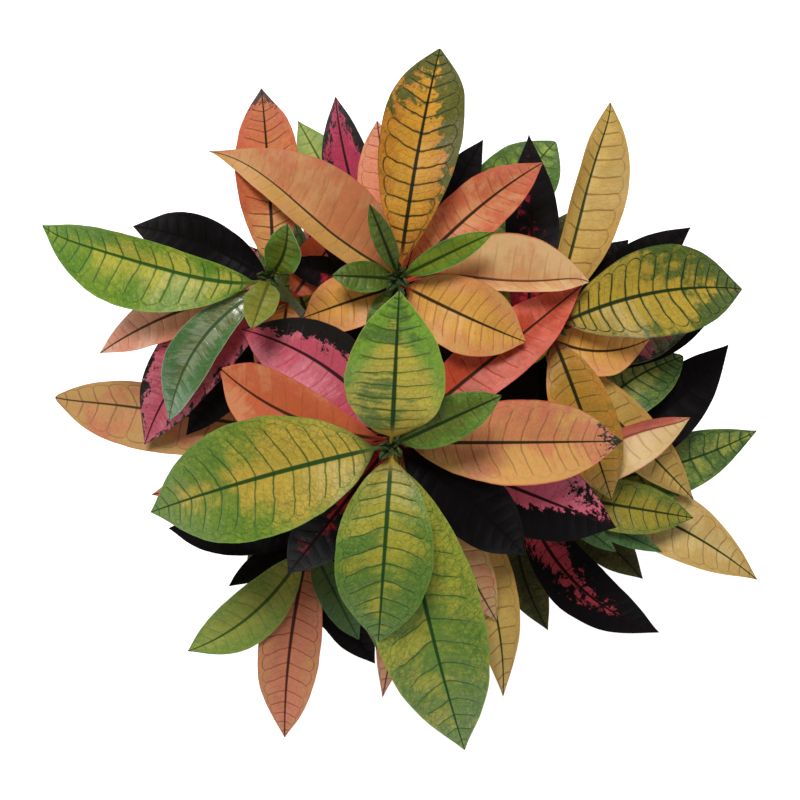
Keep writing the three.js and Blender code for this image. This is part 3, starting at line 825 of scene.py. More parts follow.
# %% Green finishes
GREEN = dict(
    vein_strength=0.85,
)
green_looks = {
    "bud_green": dict(
        inner=(52, 72, 36), outer=(44, 62, 34), vein=(40, 58, 30), midrib=(34, 50, 26),
        margin=(84, 96, 58), stalk=(46, 56, 32), underside=(74, 88, 50),
        vein_strength=0.1, net_strength=0.05,
    ),
    # On the banded lime leaf the stalk colour browns the base third: partly its own colour, partly painted
    # shade where the base lies in shadow.
    "banded_lime": dict(
        inner=(222, 202, 70), outer=(140, 184, 58), vein=(56, 92, 30), midrib=(34, 66, 28),
        mottle=(84, 120, 48), margin=(170, 180, 60), stalk=(178, 142, 56), underside=(130, 150, 74),
        mottle_amount=0.25, mottle_to_margin=-0.4, mottle_to_tip=-0.1, streak=0.8, cells=0.45,
        vein_strength=0.7, outer_from=0.42, outer_to_tip=2.0, halo=0.2, base_tint=0.65, arches=0.3,
        patches=1.2, mottle_to_side=0.3,
    ),
    "gold_lime": dict(
        inner=(206, 174, 66), outer=(150, 164, 50), vein=(50, 84, 34), midrib=(34, 72, 32),
        mottle=(96, 132, 40), margin=(120, 160, 70), stalk=(70, 92, 42), underside=(150, 152, 84),
        mottle_amount=0.42, mottle_to_margin=0.5, mottle_to_tip=2.0, streak=0.45, cells=0.4,
        vein_width=1.1, outer_to_tip=1.0, net_strength=0.4, halo=0.22, softness=0.15, arches=0.6,
        patches=0.95,
    ),
    "moss_gold": dict(
        inner=(182, 174, 60), outer=(124, 148, 48), vein=(44, 74, 30), midrib=(34, 72, 34),
        mottle=(90, 128, 50), margin=(110, 150, 66), stalk=(176, 142, 52), underside=(140, 150, 84),
        mottle_amount=0.5, mottle_to_margin=0.4, mottle_to_tip=1.3, cells=0.5, vein_width=1.1,
        outer_from=0.2, outer_to_tip=0.8, net_strength=0.4, halo=0.2, softness=0.16, speckle=0.35,
        base_tint=0.6, arches=0.45, patches=1.0, vein_strength=0.8,
    ),
    "moss_lime": dict(
        inner=(182, 178, 60), outer=(162, 170, 56), vein=(52, 84, 36), midrib=(34, 76, 36),
        mottle=(92, 134, 48), margin=(150, 172, 66), stalk=(150, 136, 56), underside=(140, 150, 84),
        mottle_amount=0.5, mottle_to_margin=-0.25, streak=0.35, cells=0.5, vein_width=1.1,
        outer_from=0.35, net_strength=0.45, halo=0.2, softness=0.15, speckle=0.4, arches=0.5,
        base_tint=0.5, patches=0.6, vein_strength=0.8,
    ),
    "lime_gold": dict(
        inner=(194, 188, 70), outer=(138, 164, 46), vein=(54, 92, 34), midrib=(40, 84, 30),
        mottle=(92, 138, 38), margin=(136, 180, 74), stalk=(90, 104, 40), underside=(150, 158, 90),
        mottle_amount=0.44, mottle_to_margin=0.5, mottle_to_tip=0.5, streak=0.4, cells=0.4,
        vein_width=1.35, outer_from=0.15, outer_to_tip=0.7, net_strength=0.4, halo=0.2, softness=0.24,
        speckle=0.4, arches=0.55, patches=1.0,
    ),
    # A lighter copy of the marbled green for one low leaf of the back stem: partly its own lime colour,
    # partly painted light that brightens it where it lies deep in shade.
    "lime_marbled": dict(
        inner=(160, 182, 84), outer=(118, 152, 62), vein=(60, 92, 40), midrib=(50, 80, 40),
        mottle=(70, 104, 44), underside=(160, 172, 110),
        mottle_amount=0.5, mottle_to_margin=0.5, streak=0.2, vein_width=1.3, shade=0.1, halo=0.3,
        softness=0.14, speckle=0.4,
    ),
    "lime_green": dict(
        inner=(166, 170, 76), outer=(146, 164, 74), vein=(88, 118, 54), midrib=(60, 90, 42),
        mottle=(122, 150, 62), margin=(150, 170, 100), underside=(135, 145, 80),
        mottle_amount=0.44, streak=0.9, vein_strength=0.45, softness=0.25, halo=0.2, speckle=0.4,
    ),
    "young_green": dict(
        inner=(88, 104, 32), outer=(84, 116, 38), vein=(54, 74, 30), midrib=(34, 52, 24),
        mottle=(98, 130, 46), margin=(100, 128, 70), stalk=(52, 70, 34), underside=(120, 140, 84),
        vein_strength=0.4, net_strength=0.1, shade=0.15, mottle_amount=0.36,
    ),
    "young_olive": dict(
        inner=(142, 138, 48), outer=(132, 140, 54), vein=(96, 104, 42), midrib=(90, 96, 42),
        mottle=(120, 132, 60), margin=(160, 150, 70), stalk=(96, 92, 44), underside=(150, 150, 84),
        vein_strength=0.3, net_strength=0.1, shade=0.15,
    ),
    "bright_green": dict(
        inner=(116, 132, 26), outer=(96, 138, 40), vein=(72, 98, 28), midrib=(44, 66, 24),
        mottle=(120, 156, 60), margin=(150, 176, 120), stalk=(70, 92, 42), underside=(136, 156, 84),
        vein_strength=0.4, net_strength=0.1, shade=0.15, margin_strength=0.8,
    ),
    # The glossy green leaf's mottle colour is a painted sheen: its pale streaks in the middle of the blade
    # stand for highlights on the wax.
    "glossy_green": dict(
        inner=(98, 104, 42), outer=(66, 124, 58), vein=(60, 84, 42), midrib=(64, 90, 52),
        mottle=(150, 162, 128), margin=(170, 182, 150), underside=(110, 124, 84),
        gloss=0.28, shine=0.8, mottle_amount=0.4, mottle_to_tip=0.1, mottle_to_margin=-0.4,
        vein_strength=0.4, margin_strength=0.8, outer_to_tip=1.4, outer_from=0.1, streak=0.9,
        softness=0.16, patches=0.9,
    ),
    "deep_green": dict(
        inner=(66, 104, 46), outer=(56, 98, 50), vein=(40, 70, 36), midrib=(48, 76, 42),
        mottle=(84, 122, 62), margin=(110, 140, 96), underside=(110, 124, 84),
        shine=0.5, mottle_amount=0.4, vein_strength=0.4, speckle=0.1, arches=0.3,
    ),
    "green_marbled": dict(
        inner=(150, 156, 70), outer=(108, 134, 60), vein=(40, 66, 32), midrib=(36, 62, 32),
        mottle=(66, 100, 46), underside=(128, 140, 84),
        mottle_amount=0.5, mottle_to_margin=0.5, mottle_to_tip=0.2, streak=0.2, vein_width=1.5,
        shade=0.2, halo=0.3, softness=0.14, speckle=0.45,
    ),
    "gold_green": dict(
        inner=(202, 168, 58), outer=(182, 156, 52), vein=(36, 56, 24), midrib=(26, 50, 26),
        mottle=(60, 94, 38), margin=(60, 92, 40), underside=(165, 145, 85),
        mottle_amount=0.4, mottle_to_margin=0.5, mottle_to_tip=1.35, streak=0.1, vein_strength=0.95,
        vein_width=1.4, net_strength=0.2, halo=0.3, softness=0.11, speckle=0.2, patches=0.6,
    ),
    "amber_green": dict(
        inner=(226, 160, 50), outer=(208, 132, 38), vein=(48, 46, 20), midrib=(26, 32, 16),
        mottle=(62, 86, 24), margin=(96, 96, 36), stalk=(196, 116, 52), underside=(190, 150, 100),
        mottle_amount=0.36, mottle_to_tip=1.9, mottle_to_side=0.45, streak=0.0, vein_strength=0.95,
        vein_width=1.4, net_strength=0.22, base_tint=0.7, halo=0.25, softness=0.05, freckles=0.5,
        speckle=0.2, patches=0.4,
    ),
    "olive": dict(
        inner=(138, 128, 52), outer=(110, 120, 48), vein=(74, 80, 36), midrib=(46, 58, 28),
        mottle=(96, 110, 44), underside=(140, 135, 80),
        mottle_amount=0.45, vein_strength=0.6, softness=0.2, speckle=0.4,
    ),
    "olive_gold": dict(
        inner=(166, 150, 50), outer=(140, 142, 48), vein=(54, 66, 30), midrib=(42, 54, 28),
        mottle=(104, 118, 46), underside=(150, 145, 80),
        mottle_amount=0.38, vein_strength=0.9, streak=0.3, halo=0.3, softness=0.2, speckle=0.4,
        arches=0.6,
    ),
}
print(len(green_looks), "green finishes")

# %% [markdown]
# ## The warm leaves
# As the leaves age their green fades and gold, salmon and coral come through. They are smoother in
# colour, with red freckles, and a few keep a dark tip. On the folded ones each half of the blade has a
# colour of its own, partly real and partly painted light, because one half faces the light.

# %% Warm finishes
WARM = dict(
    mottle_amount=0.38, net_strength=0.1, patches=1.2, softness=0.2, speckle=0.1,
    underside=(215, 160, 125),
)
warm_looks = {
    "old_gold": dict(
        inner=(186, 138, 48), outer=(200, 140, 54), vein=(100, 74, 28), midrib=(30, 36, 18),
        mottle=(130, 122, 45), margin=(200, 116, 50), underside=(180, 150, 90),
        mottle_amount=0.3, vein_strength=0.65, vein_width=1.2, net_strength=0.18, freckles=0.2,
        speckle=0.2, arches=0.7, patches=0.8, softness=0.1,
    ),
    "amber": dict(
        inner=(234, 172, 80), outer=(232, 152, 94), vein=(160, 100, 50), midrib=(44, 38, 20),
        mottle=(224, 168, 96), margin=(218, 110, 70), stalk=(150, 58, 36), underside=(200, 150, 100),
        mottle_amount=0.32, vein_strength=0.6, net_strength=0.12, shade=0.3, base_tint=0.3,
        freckles=0.4, arches=0.35, midrib_width=0.8,
    ),
    "orange": dict(
        inner=(202, 98, 60), outer=(204, 94, 60), vein=(170, 80, 46), midrib=(60, 36, 24),
        mottle=(214, 140, 96), margin=(196, 84, 60), stalk=(150, 50, 36), underside=(205, 140, 110),
        shine=0.2, vein_strength=0.3, base_tint=0.3, freckles=0.3, arches=0.3, streak=0.3,
    ),
    "orange_dark_tip": dict(
        inner=(206, 110, 66), outer=(206, 98, 64), vein=(96, 44, 30), midrib=(36, 28, 20),
        mottle=(218, 154, 88), blotch=(66, 50, 44), margin=(190, 90, 60), stalk=(206, 150, 76),
        underside=(205, 140, 110),
        shine=0.2, mottle_amount=0.41, mottle_to_tip=-0.6, vein_strength=0.75, base_tint=0.7,
        softness=0.22, freckles=0.3, blotch_amount=-0.34, blotch_to_tip=4.2, blotch_to_margin=0.35,
        arches=0.25, speckle=0.15, midrib_width=0.85, mottle_to_margin=-0.2,
    ),
    "salmon_gold": dict(
        inner=(214, 164, 88), outer=(214, 122, 84), vein=(168, 110, 66), midrib=(52, 50, 28),
        mottle=(220, 164, 110), margin=(206, 118, 84), stalk=(180, 110, 60),
        halves=1.0, mottle_amount=0.48, mottle_to_margin=-0.3, vein_strength=0.2, net_strength=0.08,
        freckles=0.8, arches=0.3, speckle=0.15, midrib_width=0.55,
    ),
    "cream_pink": dict(
        inner=(220, 184, 132), outer=(204, 92, 84), vein=(170, 124, 80), midrib=(150, 70, 60),
        mottle=(224, 190, 130), margin=(196, 60, 60), underside=(205, 150, 120),
        halves=1.0, mottle_amount=0.4, mottle_to_side=-0.8, streak=0.3, vein_strength=0.35,
        vein_width=1.3, net_strength=0.08, arches=0.8, patches=0.8,
    ),
    "orange_coral": dict(
        inner=(204, 104, 70), outer=(206, 98, 70), vein=(156, 70, 44), midrib=(48, 34, 22),
        mottle=(220, 154, 104), margin=(204, 64, 52), stalk=(150, 40, 32), underside=(210, 140, 110),
        mottle_amount=0.44, vein_strength=0.55, base_tint=0.3, mottle_to_tip=-0.3,
        mottle_to_margin=-0.3, freckles=0.6, arches=0.3, speckle=0.15, streak=0.35,
    ),
    "red_orange": dict(
        inner=(192, 70, 42), outer=(202, 78, 50), vein=(146, 50, 34), midrib=(48, 32, 24),
        mottle=(224, 112, 92), margin=(196, 60, 50), underside=(205, 120, 110),
        mottle_amount=0.42, vein_strength=0.4, mottle_to_tip=0.3, arches=0.2, streak=0.35,
    ),
    "salmon": dict(
        inner=(222, 138, 106), outer=(222, 144, 112), vein=(140, 66, 46), midrib=(72, 40, 34),
        mottle=(212, 148, 100), margin=(200, 90, 75), underside=(210, 150, 125),
        mottle_amount=0.4, vein_strength=0.7, net_strength=0.15, vein_width=1.1, patches=0.8,
        softness=0.1,
    ),
    "peach": dict(
        inner=(224, 160, 106), outer=(222, 146, 108), vein=(176, 112, 70), midrib=(96, 60, 40),
        mottle=(232, 190, 132), margin=(210, 84, 66), stalk=(196, 80, 50),
        mottle_amount=0.5, mottle_to_tip=0.5, vein_strength=0.3, net_strength=0.06, margin_strength=0.7,
        base_tint=0.75, shade=0.1, arches=0.2, streak=0.3, midrib_width=0.7,
    ),
    "peach_dark_tip": dict(
        inner=(224, 142, 96), outer=(226, 128, 98), vein=(120, 74, 40), midrib=(34, 38, 20),
        mottle=(226, 172, 96), blotch=(34, 30, 22), margin=(200, 86, 66), stalk=(160, 70, 40),
        shine=0.15, mottle_amount=0.42, mottle_to_side=-0.3, mottle_to_tip=0.0, vein_strength=0.5,
        vein_width=1.2, net_strength=0.08, margin_strength=0.7, blotch_amount=-0.32, blotch_to_tip=4.2,
        blotch_to_margin=-0.1, base_tint=0.3, arches=0.5, speckle=0.15, softness=0.18, midrib_width=0.8,
        patches=1.3,
    ),
    # A paler copy of salmon for one leaf of the left stem: partly its own lighter colour, partly painted
    # light that brightens it where it lies in the shade of the leaf above.
    "salmon_light": dict(
        inner=(232, 156, 124), outer=(228, 138, 108), vein=(170, 96, 74), midrib=(64, 48, 36),
        mottle=(238, 186, 156), margin=(206, 100, 84), underside=(215, 160, 135),
        mottle_amount=0.42, vein_strength=0.4, arches=0.2, shade=0.1,
    ),
    "tan": dict(
        inner=(206, 150, 100), outer=(208, 130, 94), vein=(132, 92, 52), midrib=(60, 56, 30),
        mottle=(196, 156, 94), margin=(196, 106, 76), underside=(205, 165, 120),
        mottle_amount=0.4, vein_strength=0.65, vein_width=1.35, net_strength=0.12, speckle=0.15,
        patches=1.0, outer_to_tip=0.9, softness=0.1,
    ),
    "tan_yellow": dict(
        inner=(214, 178, 94), outer=(208, 164, 86), vein=(132, 102, 52), midrib=(44, 54, 26),
        mottle=(190, 156, 80), margin=(205, 150, 80), underside=(205, 175, 110),
        vein_strength=0.75, vein_width=1.35, net_strength=0.15, speckle=0.15, arches=0.65, patches=0.8,
        softness=0.1,
    ),
    "pale_tan": dict(
        inner=(226, 196, 128), outer=(220, 184, 116), vein=(140, 110, 60), midrib=(44, 54, 26),
        mottle=(206, 168, 96), margin=(214, 168, 100), underside=(205, 175, 110),
        vein_strength=0.7, vein_width=1.2, net_strength=0.15, speckle=0.15, arches=0.7, patches=0.8,
        softness=0.1,
    ),
}
print(len(warm_looks), "warm finishes")

# %% [markdown]
# ## The dark leaves
# The oldest leaves are nearly black. Some keep crimson or pink patches with ragged edges, which are
# made the other way round: the leaf is pink, and the dark patch covers all but the heart of it.

# %% Dark finishes
DARK = dict(
    mottle_amount=0.4, speckle=0.1, vein_strength=0.5,
)
dark_looks = {
    "dark_olive": dict(
        inner=(56, 58, 32), outer=(46, 54, 32), vein=(36, 42, 26), midrib=(28, 36, 24),
        mottle=(84, 80, 38), underside=(90, 76, 56),
        shine=0.06, relief=0.2,
    ),
    "crimson": dict(
        inner=(204, 84, 106), outer=(208, 92, 112), vein=(140, 44, 58), midrib=(50, 20, 26),
        mottle=(216, 116, 132), blotch=(26, 22, 20), margin=(60, 30, 36), stalk=(190, 60, 76),
        underside=(150, 66, 80),
        shine=0.2, mottle_amount=0.42, mottle_to_tip=0.3, streak=0.8, vein_strength=0.3,
        blotch_amount=0.33, blotch_to_margin=0.75, blotch_to_side=0.6, blotch_to_tip=0.25,
        base_tint=0.4, arches=0.3,
    ),
    "crimson_black": dict(
        inner=(168, 44, 78), outer=(158, 40, 72), vein=(110, 26, 46), midrib=(36, 20, 24),
        mottle=(184, 62, 94), blotch=(26, 20, 20), margin=(40, 24, 30), stalk=(150, 30, 50),
        underside=(130, 50, 66),
        shine=0.25, mottle_amount=0.42, vein_strength=0.3, blotch_amount=0.44, blotch_to_margin=0.7,
        blotch_to_tip=0.2, net_strength=0.1, arches=0.2,
    ),
    "crimson_green": dict(
        inner=(180, 66, 100), outer=(160, 66, 84), vein=(52, 50, 34), midrib=(42, 50, 30),
        mottle=(66, 92, 50), blotch=(30, 28, 25), underside=(120, 70, 70),
        mottle_amount=0.46, streak=0.0, blotch_amount=0.36, vein_strength=0.7, speckle=0.3,
    ),
    "black": dict(
        inner=(16, 13, 13), outer=(14, 12, 13), vein=(11, 10, 11), midrib=(20, 16, 17),
        mottle=(22, 18, 19), margin=(34, 28, 32), stalk=(60, 22, 26), underside=(62, 36, 40),
        shine=0.04, relief=0.2, shade=0.0, net_strength=0.1, speckle=0.0,
    ),
    "black_red": dict(
        inner=(18, 14, 14), outer=(15, 12, 13), vein=(12, 10, 11), midrib=(30, 18, 20),
        mottle=(176, 40, 58), margin=(34, 26, 30), stalk=(160, 34, 50), underside=(72, 38, 42),
        shine=0.06, relief=0.2, mottle_amount=0.3, mottle_to_margin=-0.5, mottle_to_tip=-0.5,
        streak=0.1, shade=0.0, net_strength=0.1, base_tint=0.8, speckle=0.0,
    ),
    "black_pink": dict(
        inner=(228, 106, 132), outer=(222, 98, 124), vein=(150, 56, 74), midrib=(40, 24, 28),
        mottle=(206, 112, 130), blotch=(15, 13, 13), margin=(26, 22, 24), stalk=(150, 40, 50),
        underside=(86, 45, 52),
        shine=0.06, relief=0.2, blotch_amount=0.5, blotch_to_margin=1.1, blotch_to_tip=1.8,
        blotch_to_side=-1.2, vein_strength=0.25, arches=0.2,
    ),
    "black_crimson": dict(
        inner=(186, 62, 80), outer=(164, 52, 70), vein=(70, 24, 34), midrib=(32, 20, 23),
        mottle=(200, 84, 104), blotch=(17, 14, 15), margin=(26, 22, 24), stalk=(150, 40, 50),
        underside=(86, 45, 52),
        shine=0.06, relief=0.2, blotch_amount=0.65, blotch_to_margin=0.95, blotch_to_tip=1.3,
        vein_strength=0.7, arches=0.4,
    ),
}
print(len(dark_looks), "dark finishes")

# %% [markdown]
# ## A material and its bump
# Every surface here is one shader with a roughness and a little gloss, and most have dents too fine to
# model. A bump reads a height and only tilts the light on the surface, which is enough for veins and grain.

# %% Plain materials
def plain_material(name, roughness, specular=0.4):
    material = bpy.data.materials.new(name)
    material.use_nodes = True
    shader = material.node_tree.nodes["Principled BSDF"]
    shader.inputs["Roughness"].default_value = roughness
    shader.inputs["Specular IOR Level"].default_value = specular
    return material, material.node_tree, shader


def bumped(tree, shader, height, strength, distance):
    bump = tree.nodes.new("ShaderNodeBump")
    bump.inputs["Strength"].default_value = strength
    bump.inputs["Distance"].default_value = distance
    tree.links.new(height.socket, bump.inputs["Height"])
    tree.links.new(bump.outputs["Normal"], shader.inputs["Normal"])


print("materials can be made and bumped")

# %% [markdown]
# ## Leaf materials
# Each finish becomes one material: a copy of the skin group with its own colours and amounts under a waxy
# gloss. A croton leaf is waxy, so the surface reflects softly and the side veins dent it.

# %% Leaf materials
GLOSS = 0.42
SHINE = 0.25
RELIEF = 0.5
RELIEF_DEPTH = 0.0008
VEIN_DULLNESS = 0.85

finishes = {}
for family, looks in ((GREEN, green_looks), (WARM, warm_looks), (DARK, dark_looks)):
    finishes.update({name: {**family, **look} for name, look in looks.items()})


def leaf_finish(name, look):
    """A leaf material: the skin group with this finish's colours and amounts."""
    material, tree, shader = plain_material("leaf_" + name, look.get("gloss", GLOSS))
    group = tree.nodes.new("ShaderNodeGroup")
    group.node_tree = skin
    for word, value in look.items():
        label = word.replace("_", " ").capitalize()
        if label in skin_colours:
            group.inputs[label].default_value = seen(*value)
        elif label in skin_numbers:
            group.inputs[label].default_value = value
    tree.links.new(group.outputs["Colour"], shader.inputs["Base Color"])
    height = Field(tree, group.outputs["Height"])
    bumped(tree, shader, height, look.get("relief", RELIEF), RELIEF_DEPTH)
    dullness = Field(tree, group.outputs["Dullness"]) * VEIN_DULLNESS
    shine = (1.0 - dullness) * look.get("shine", SHINE)
    tree.links.new(shine.socket, shader.inputs["Specular IOR Level"])
    return material


leaf_materials = [leaf_finish(name, finishes[name]) for name in finish_order]
print(len(leaf_materials), "leaf materials")

# %% [markdown]
# ## The leaf as a rule
# All the leaves share one rule, so Geometry Nodes make them. A flat grid is rolled round a leaf: up one
# face, over the margin and back along the other face, so that the blade is one closed body. The grid's
# rings don't cross the leaf at right angles, but slant with the side veins, four rings to each pair. The
# hollows along the veins and the bulges between them are then real shape and fall where the colour
# expects them. A leaf is placed at the numbers that its seat carries: rise, droop, width, fold and bow.

# %% Inputs of the leaf tree
BLADE_SHAPE = {
    "Petiole rings": 5,
    "Rings per vein": 4,
    "Columns": 16,
    "Blade thickness": 0.6 * MM,
    "Petiole radius": 1.35 * MM,
    "Rib depth": 1.2 * MM,
    "Margin wave": 1.6 * MM,
    "Quilting": 0.5 * MM,
    "Fold": 1.2,
    "Uneven edge": 0.10,
}
VEIN_PAIRS = {
    "Vein pairs of buds": 3,
    "Vein pairs small": 9,
    "Vein pairs medium": 13,
    "Vein pairs large": 16,
}


def new_shape_tree(name, inputs):
    """A Geometry Nodes tree with named inputs, whole numbers for counts and others for sizes."""
    tree = bpy.data.node_groups.new(name, "GeometryNodeTree")
    for way in ("INPUT", "OUTPUT"):
        tree.interface.new_socket(name="Geometry", in_out=way, socket_type="NodeSocketGeometry")
    for label, value in inputs.items():
        kind = "NodeSocketInt" if isinstance(value, int) else "NodeSocketFloat"
        group_input(tree, label, kind, value)
    return tree, tree.nodes.new("NodeGroupInput"), tree.nodes.new("NodeGroupOutput")


leaf_tree, leaf_in, leaf_out = new_shape_tree("croton_leaves", {**BLADE_SHAPE, **VEIN_PAIRS})


def leaf_input(label):
    return Field(leaf_tree, leaf_in.outputs[label])


print("leaf tree takes", len(BLADE_SHAPE) + len(VEIN_PAIRS), "numbers")

# %% [markdown]
# ## Helpers for shape trees
# The same moves come up again and again in the trees: a node that takes a geometry and hands it on, a
# number that is stored on every point or read back, a coat of one material. Each is a small function.

# %% Helpers for shape trees
def chain(tree, kind, geometry, **settings):
    """Adds a node that takes one geometry and hands it on."""
    node = tree.nodes.new(kind)
    for label, value in settings.items():
        setattr(node, label, value)
    tree.links.new(geometry, node.inputs[0])
    return node


def store(tree, geometry, name, value, kind="FLOAT"):
    """Keeps a number or a vector on every point, under a name."""
    node = chain(tree, "GeometryNodeStoreNamedAttribute", geometry, data_type=kind, domain="POINT")
    node.inputs["Name"].default_value = name
    tree.links.new(value.socket if isinstance(value, Field) else value, node.inputs["Value"])
    return node.outputs[0]


def carried(tree, name):
    """A number that an attribute carries, as a Field."""
    node = tree.nodes.new("GeometryNodeInputNamedAttribute")
    node.data_type = "FLOAT"
    node.inputs["Name"].default_value = name
    return Field(tree, node.outputs[0])


def painted(tree, geometry, material, where=True):
    """Gives faces of a geometry a material, all of them or only where a Field is true."""
    node = chain(tree, "GeometryNodeSetMaterial", geometry)
    node.inputs["Material"].default_value = material
    feed(tree, where, node.inputs["Selection"])
    return node.outputs[0]


print("nodes can be chained, stored, read and painted")

# %% [markdown]
# ## Grids that are rolled up
# Leaves and canes both start as a flat grid of points. It is rolled round an axis later, so that two of its
# edges meet. Points that lie within a hair of each other are then merged, which closes the body.

# %% Grids
HAIR_GAP = 0.01 * MM


def unit_grid(tree, across, up):
    """A flat grid of one metre with so many points across and up, and the place of each point on it."""
    grid = tree.nodes.new("GeometryNodeMeshGrid")
    grid.inputs["Size X"].default_value = 1.0
    grid.inputs["Size Y"].default_value = 1.0
    feed(tree, across, grid.inputs["Vertices X"])
    feed(tree, up, grid.inputs["Vertices Y"])
    x, y, _ = split(tree, tree.nodes.new("GeometryNodeInputPosition").outputs[0])
    return grid.outputs["Mesh"], x + 0.5, y + 0.5


def smooth_closed(tree, geometry):
    """Closes the seams of a rolled grid and shades it smoothly."""
    closed = chain(tree, "GeometryNodeMergeByDistance", geometry)
    closed.inputs["Distance"].default_value = HAIR_GAP
    return chain(tree, "GeometryNodeSetShadeSmooth", closed.outputs[0], domain="FACE")


print("grids close gaps of", HAIR_GAP / MM, "mm")

# %% [markdown]
# ## A flat grid for every leaf
# A bud scale needs few rings and a long leaf many, so the leaves fall into four classes of size, each with
# its own count of vein pairs. Every seat gets a grid of its class, still flat and all at one point, with
# the number of its ring and column on each point. Instances can't be shaped, so they are made real.

# %% Flat grids
def flat_leaves(size_class, pairs):
    """Flat grids, one at every seat of a size class, with the count of vein pairs on their points."""
    rings = leaf_input("Petiole rings") + leaf_input("Rings per vein") * pairs
    columns = leaf_input("Columns") * 2.0 + 2.0
    grid, across, up = unit_grid(leaf_tree, rings + 1.0, columns + 1.0)
    geometry = store(leaf_tree, grid, "ring", across * rings)
    geometry = store(leaf_tree, geometry, "column", up * columns)
    geometry = store(leaf_tree, geometry, "pairs", pairs)
    spots = leaf_tree.nodes.new("GeometryNodeInstanceOnPoints")
    leaf_tree.links.new(leaf_in.outputs["Geometry"], spots.inputs["Points"])
    leaf_tree.links.new(geometry, spots.inputs["Instance"])
    mine = carried(leaf_tree, "size_class").math("COMPARE", size_class, 0.1)
    leaf_tree.links.new(mine.socket, spots.inputs["Selection"])
    spots.inputs["Scale"].default_value = (0.0, 0.0, 0.0)
    return spots.outputs[0]


joined = leaf_tree.nodes.new("GeometryNodeJoinGeometry")
for size_class, label in enumerate(VEIN_PAIRS):
    leaf_tree.links.new(flat_leaves(size_class, leaf_input(label)), joined.inputs[0])
realized = chain(leaf_tree, "GeometryNodeRealizeInstances", joined.outputs[0])
print(len(VEIN_PAIRS), "classes of size")

# %% [markdown]
# ## Round the leaf
# The columns of the grid run once round the leaf: out across the upper face and back across the lower one.
# They crowd near the midrib, where the blade bends most. On the stalk they are spread like points round
# a circle instead.

# %% Columns round the leaf
pairs = carried(leaf_tree, "pairs")
ring = carried(leaf_tree, "ring").math("ROUND")
seat = {label: carried(leaf_tree, label) for label in SEAT_NUMBERS}
seat["fold"] = seat["fold"] * leaf_input("Fold")

STALK_TO_BLADE = (0.0, 0.16)
COLUMN_CROWDING = 1.35

columns = leaf_input("Columns")
column = carried(leaf_tree, "column").math("ROUND").math("MODULO", columns * 2.0 + 2.0)
underneath = column.math("GREATER_THAN", columns + 0.5)
evenly = mixed(column * 2.0 / columns - 1.0, 1.0 - (column - columns - 1.0) * 2.0 / columns, underneath)
upper = 1.0 - underneath * 2.0

blade_rings = leaf_input("Rings per vein") * pairs
even_share = ((ring - leaf_input("Petiole rings")) / blade_rings).within(0.0, 1.0)
petiole_share = (ring / leaf_input("Petiole rings")).within(0.0, 1.0)
petiole = 1.0 - even_share.ramp(*STALK_TO_BLADE)

crowded = evenly.math("SIGN") * evenly.size() ** COLUMN_CROWDING
side = mixed(crowded, (evenly * (math.pi / 2)).sin(), petiole)
out = side.size()
print("columns set,", len(leaf_tree.nodes), "nodes")

# %% [markdown]
# ## The outline of a blade
# A croton leaf is a long ellipse that ends in a small drawn-out tip. Two powers multiplied give such a
# lens, and the seat's number moves its widest place. The rings slant with the side veins, more where the
# blade is broad, and crowd towards both ends.

# %% Blade outline
PETIOLE_SHARE = 0.07
LENS_POWER = 0.78
TIP_DRAWN = 0.65
TIP_LENGTH = 0.085
VEIN_CROWDING = 0.28
VEIN_SLANT = 0.30
SLANT_POWER = 1.3
EDGE_BUMPS = 7.0

belly = carried(leaf_tree, "belly")
near_base = (belly + 1.0) * LENS_POWER
near_tip = (1.0 - belly) * LENS_POWER
widest = (belly + 1.0) * 0.5
to_full = 1.0 / (widest ** near_base * (1.0 - widest) ** near_tip)


def blade_shape(share):
    """Half the blade's width at a share of its length, 1 at the widest: an ellipse with a drawn-out tip."""
    share = share.within(0.0, 1.0)
    lens = share ** near_base * (1.0 - share) ** near_tip * to_full
    return lens * (1.0 - ((share - 1.0) / TIP_LENGTH).exp() * TIP_DRAWN)


at_midrib = even_share - (even_share * (2 * math.pi)).sin() * (VEIN_CROWDING / (2 * math.pi))
slimness = seat["width"] / (seat["reach"] * 2.0)
slant = slimness * blade_shape(at_midrib) * VEIN_SLANT * out ** SLANT_POWER
along = (at_midrib + slant).within(0.0, 1.0)
share = petiole_share * PETIOLE_SHARE + along * (1.0 - PETIOLE_SHARE)

full = blade_shape(along)
own_seed = carried(leaf_tree, "leaf_seed")
edge_place = vector(leaf_tree, along * EDGE_BUMPS, side.math("SIGN") * 3.0, own_seed)
uneven = 1.0 + (noise(leaf_tree, edge_place, 1.0, 2.0) - 0.5) * leaf_input("Uneven edge")
stalk_half = leaf_input("Petiole radius") * (1.0 - along.ramp(0.0, 0.3))
before_end = 1.0 - ring.math("COMPARE", blade_rings + leaf_input("Petiole rings"), 0.1)
alive = before_end * ring.least(1.0)
half = (seat["width"] * 0.5 * full * uneven).most(stalk_half) * alive
print("outline set,", len(leaf_tree.nodes), "nodes")

# %% [markdown]
# ## Thickness, rib and quilting
# The blade is a thin sheet that closes at its first and last ring. The stalk goes over into a rib under
# the blade and a fine ridge on top. Between the side veins the blade bulges up, as if quilted, and a
# slow noise keeps it from lying quite flat.

# %% Thickness and rib
FLAT_BODY = 400.0
ROUND_BODY = 2.0
RIB_WIDTH = 1.3 * MM
RIDGE_HEIGHT = 0.28 * MM
WOBBLE = 3.2 * MM

roundness = mixed(FLAT_BODY, ROUND_BODY, petiole)
thickness = mixed(leaf_input("Blade thickness") * 0.5, leaf_input("Petiole radius"), petiole)
body = (1.0 - out ** roundness).most(0.0).root()
sheet = thickness * body.most(1.0 - petiole) * alive

rib_width = (1.0 - along * 0.6) * RIB_WIDTH
rib_shape = ((out * half / rib_width) ** 2.0 * -1.0).exp() * (1.0 - petiole) * alive
rib = rib_shape * leaf_input("Rib depth") * (1.0 - along) ** 0.6
ridge = rib_shape * RIDGE_HEIGHT * (1.0 - along * 0.7)

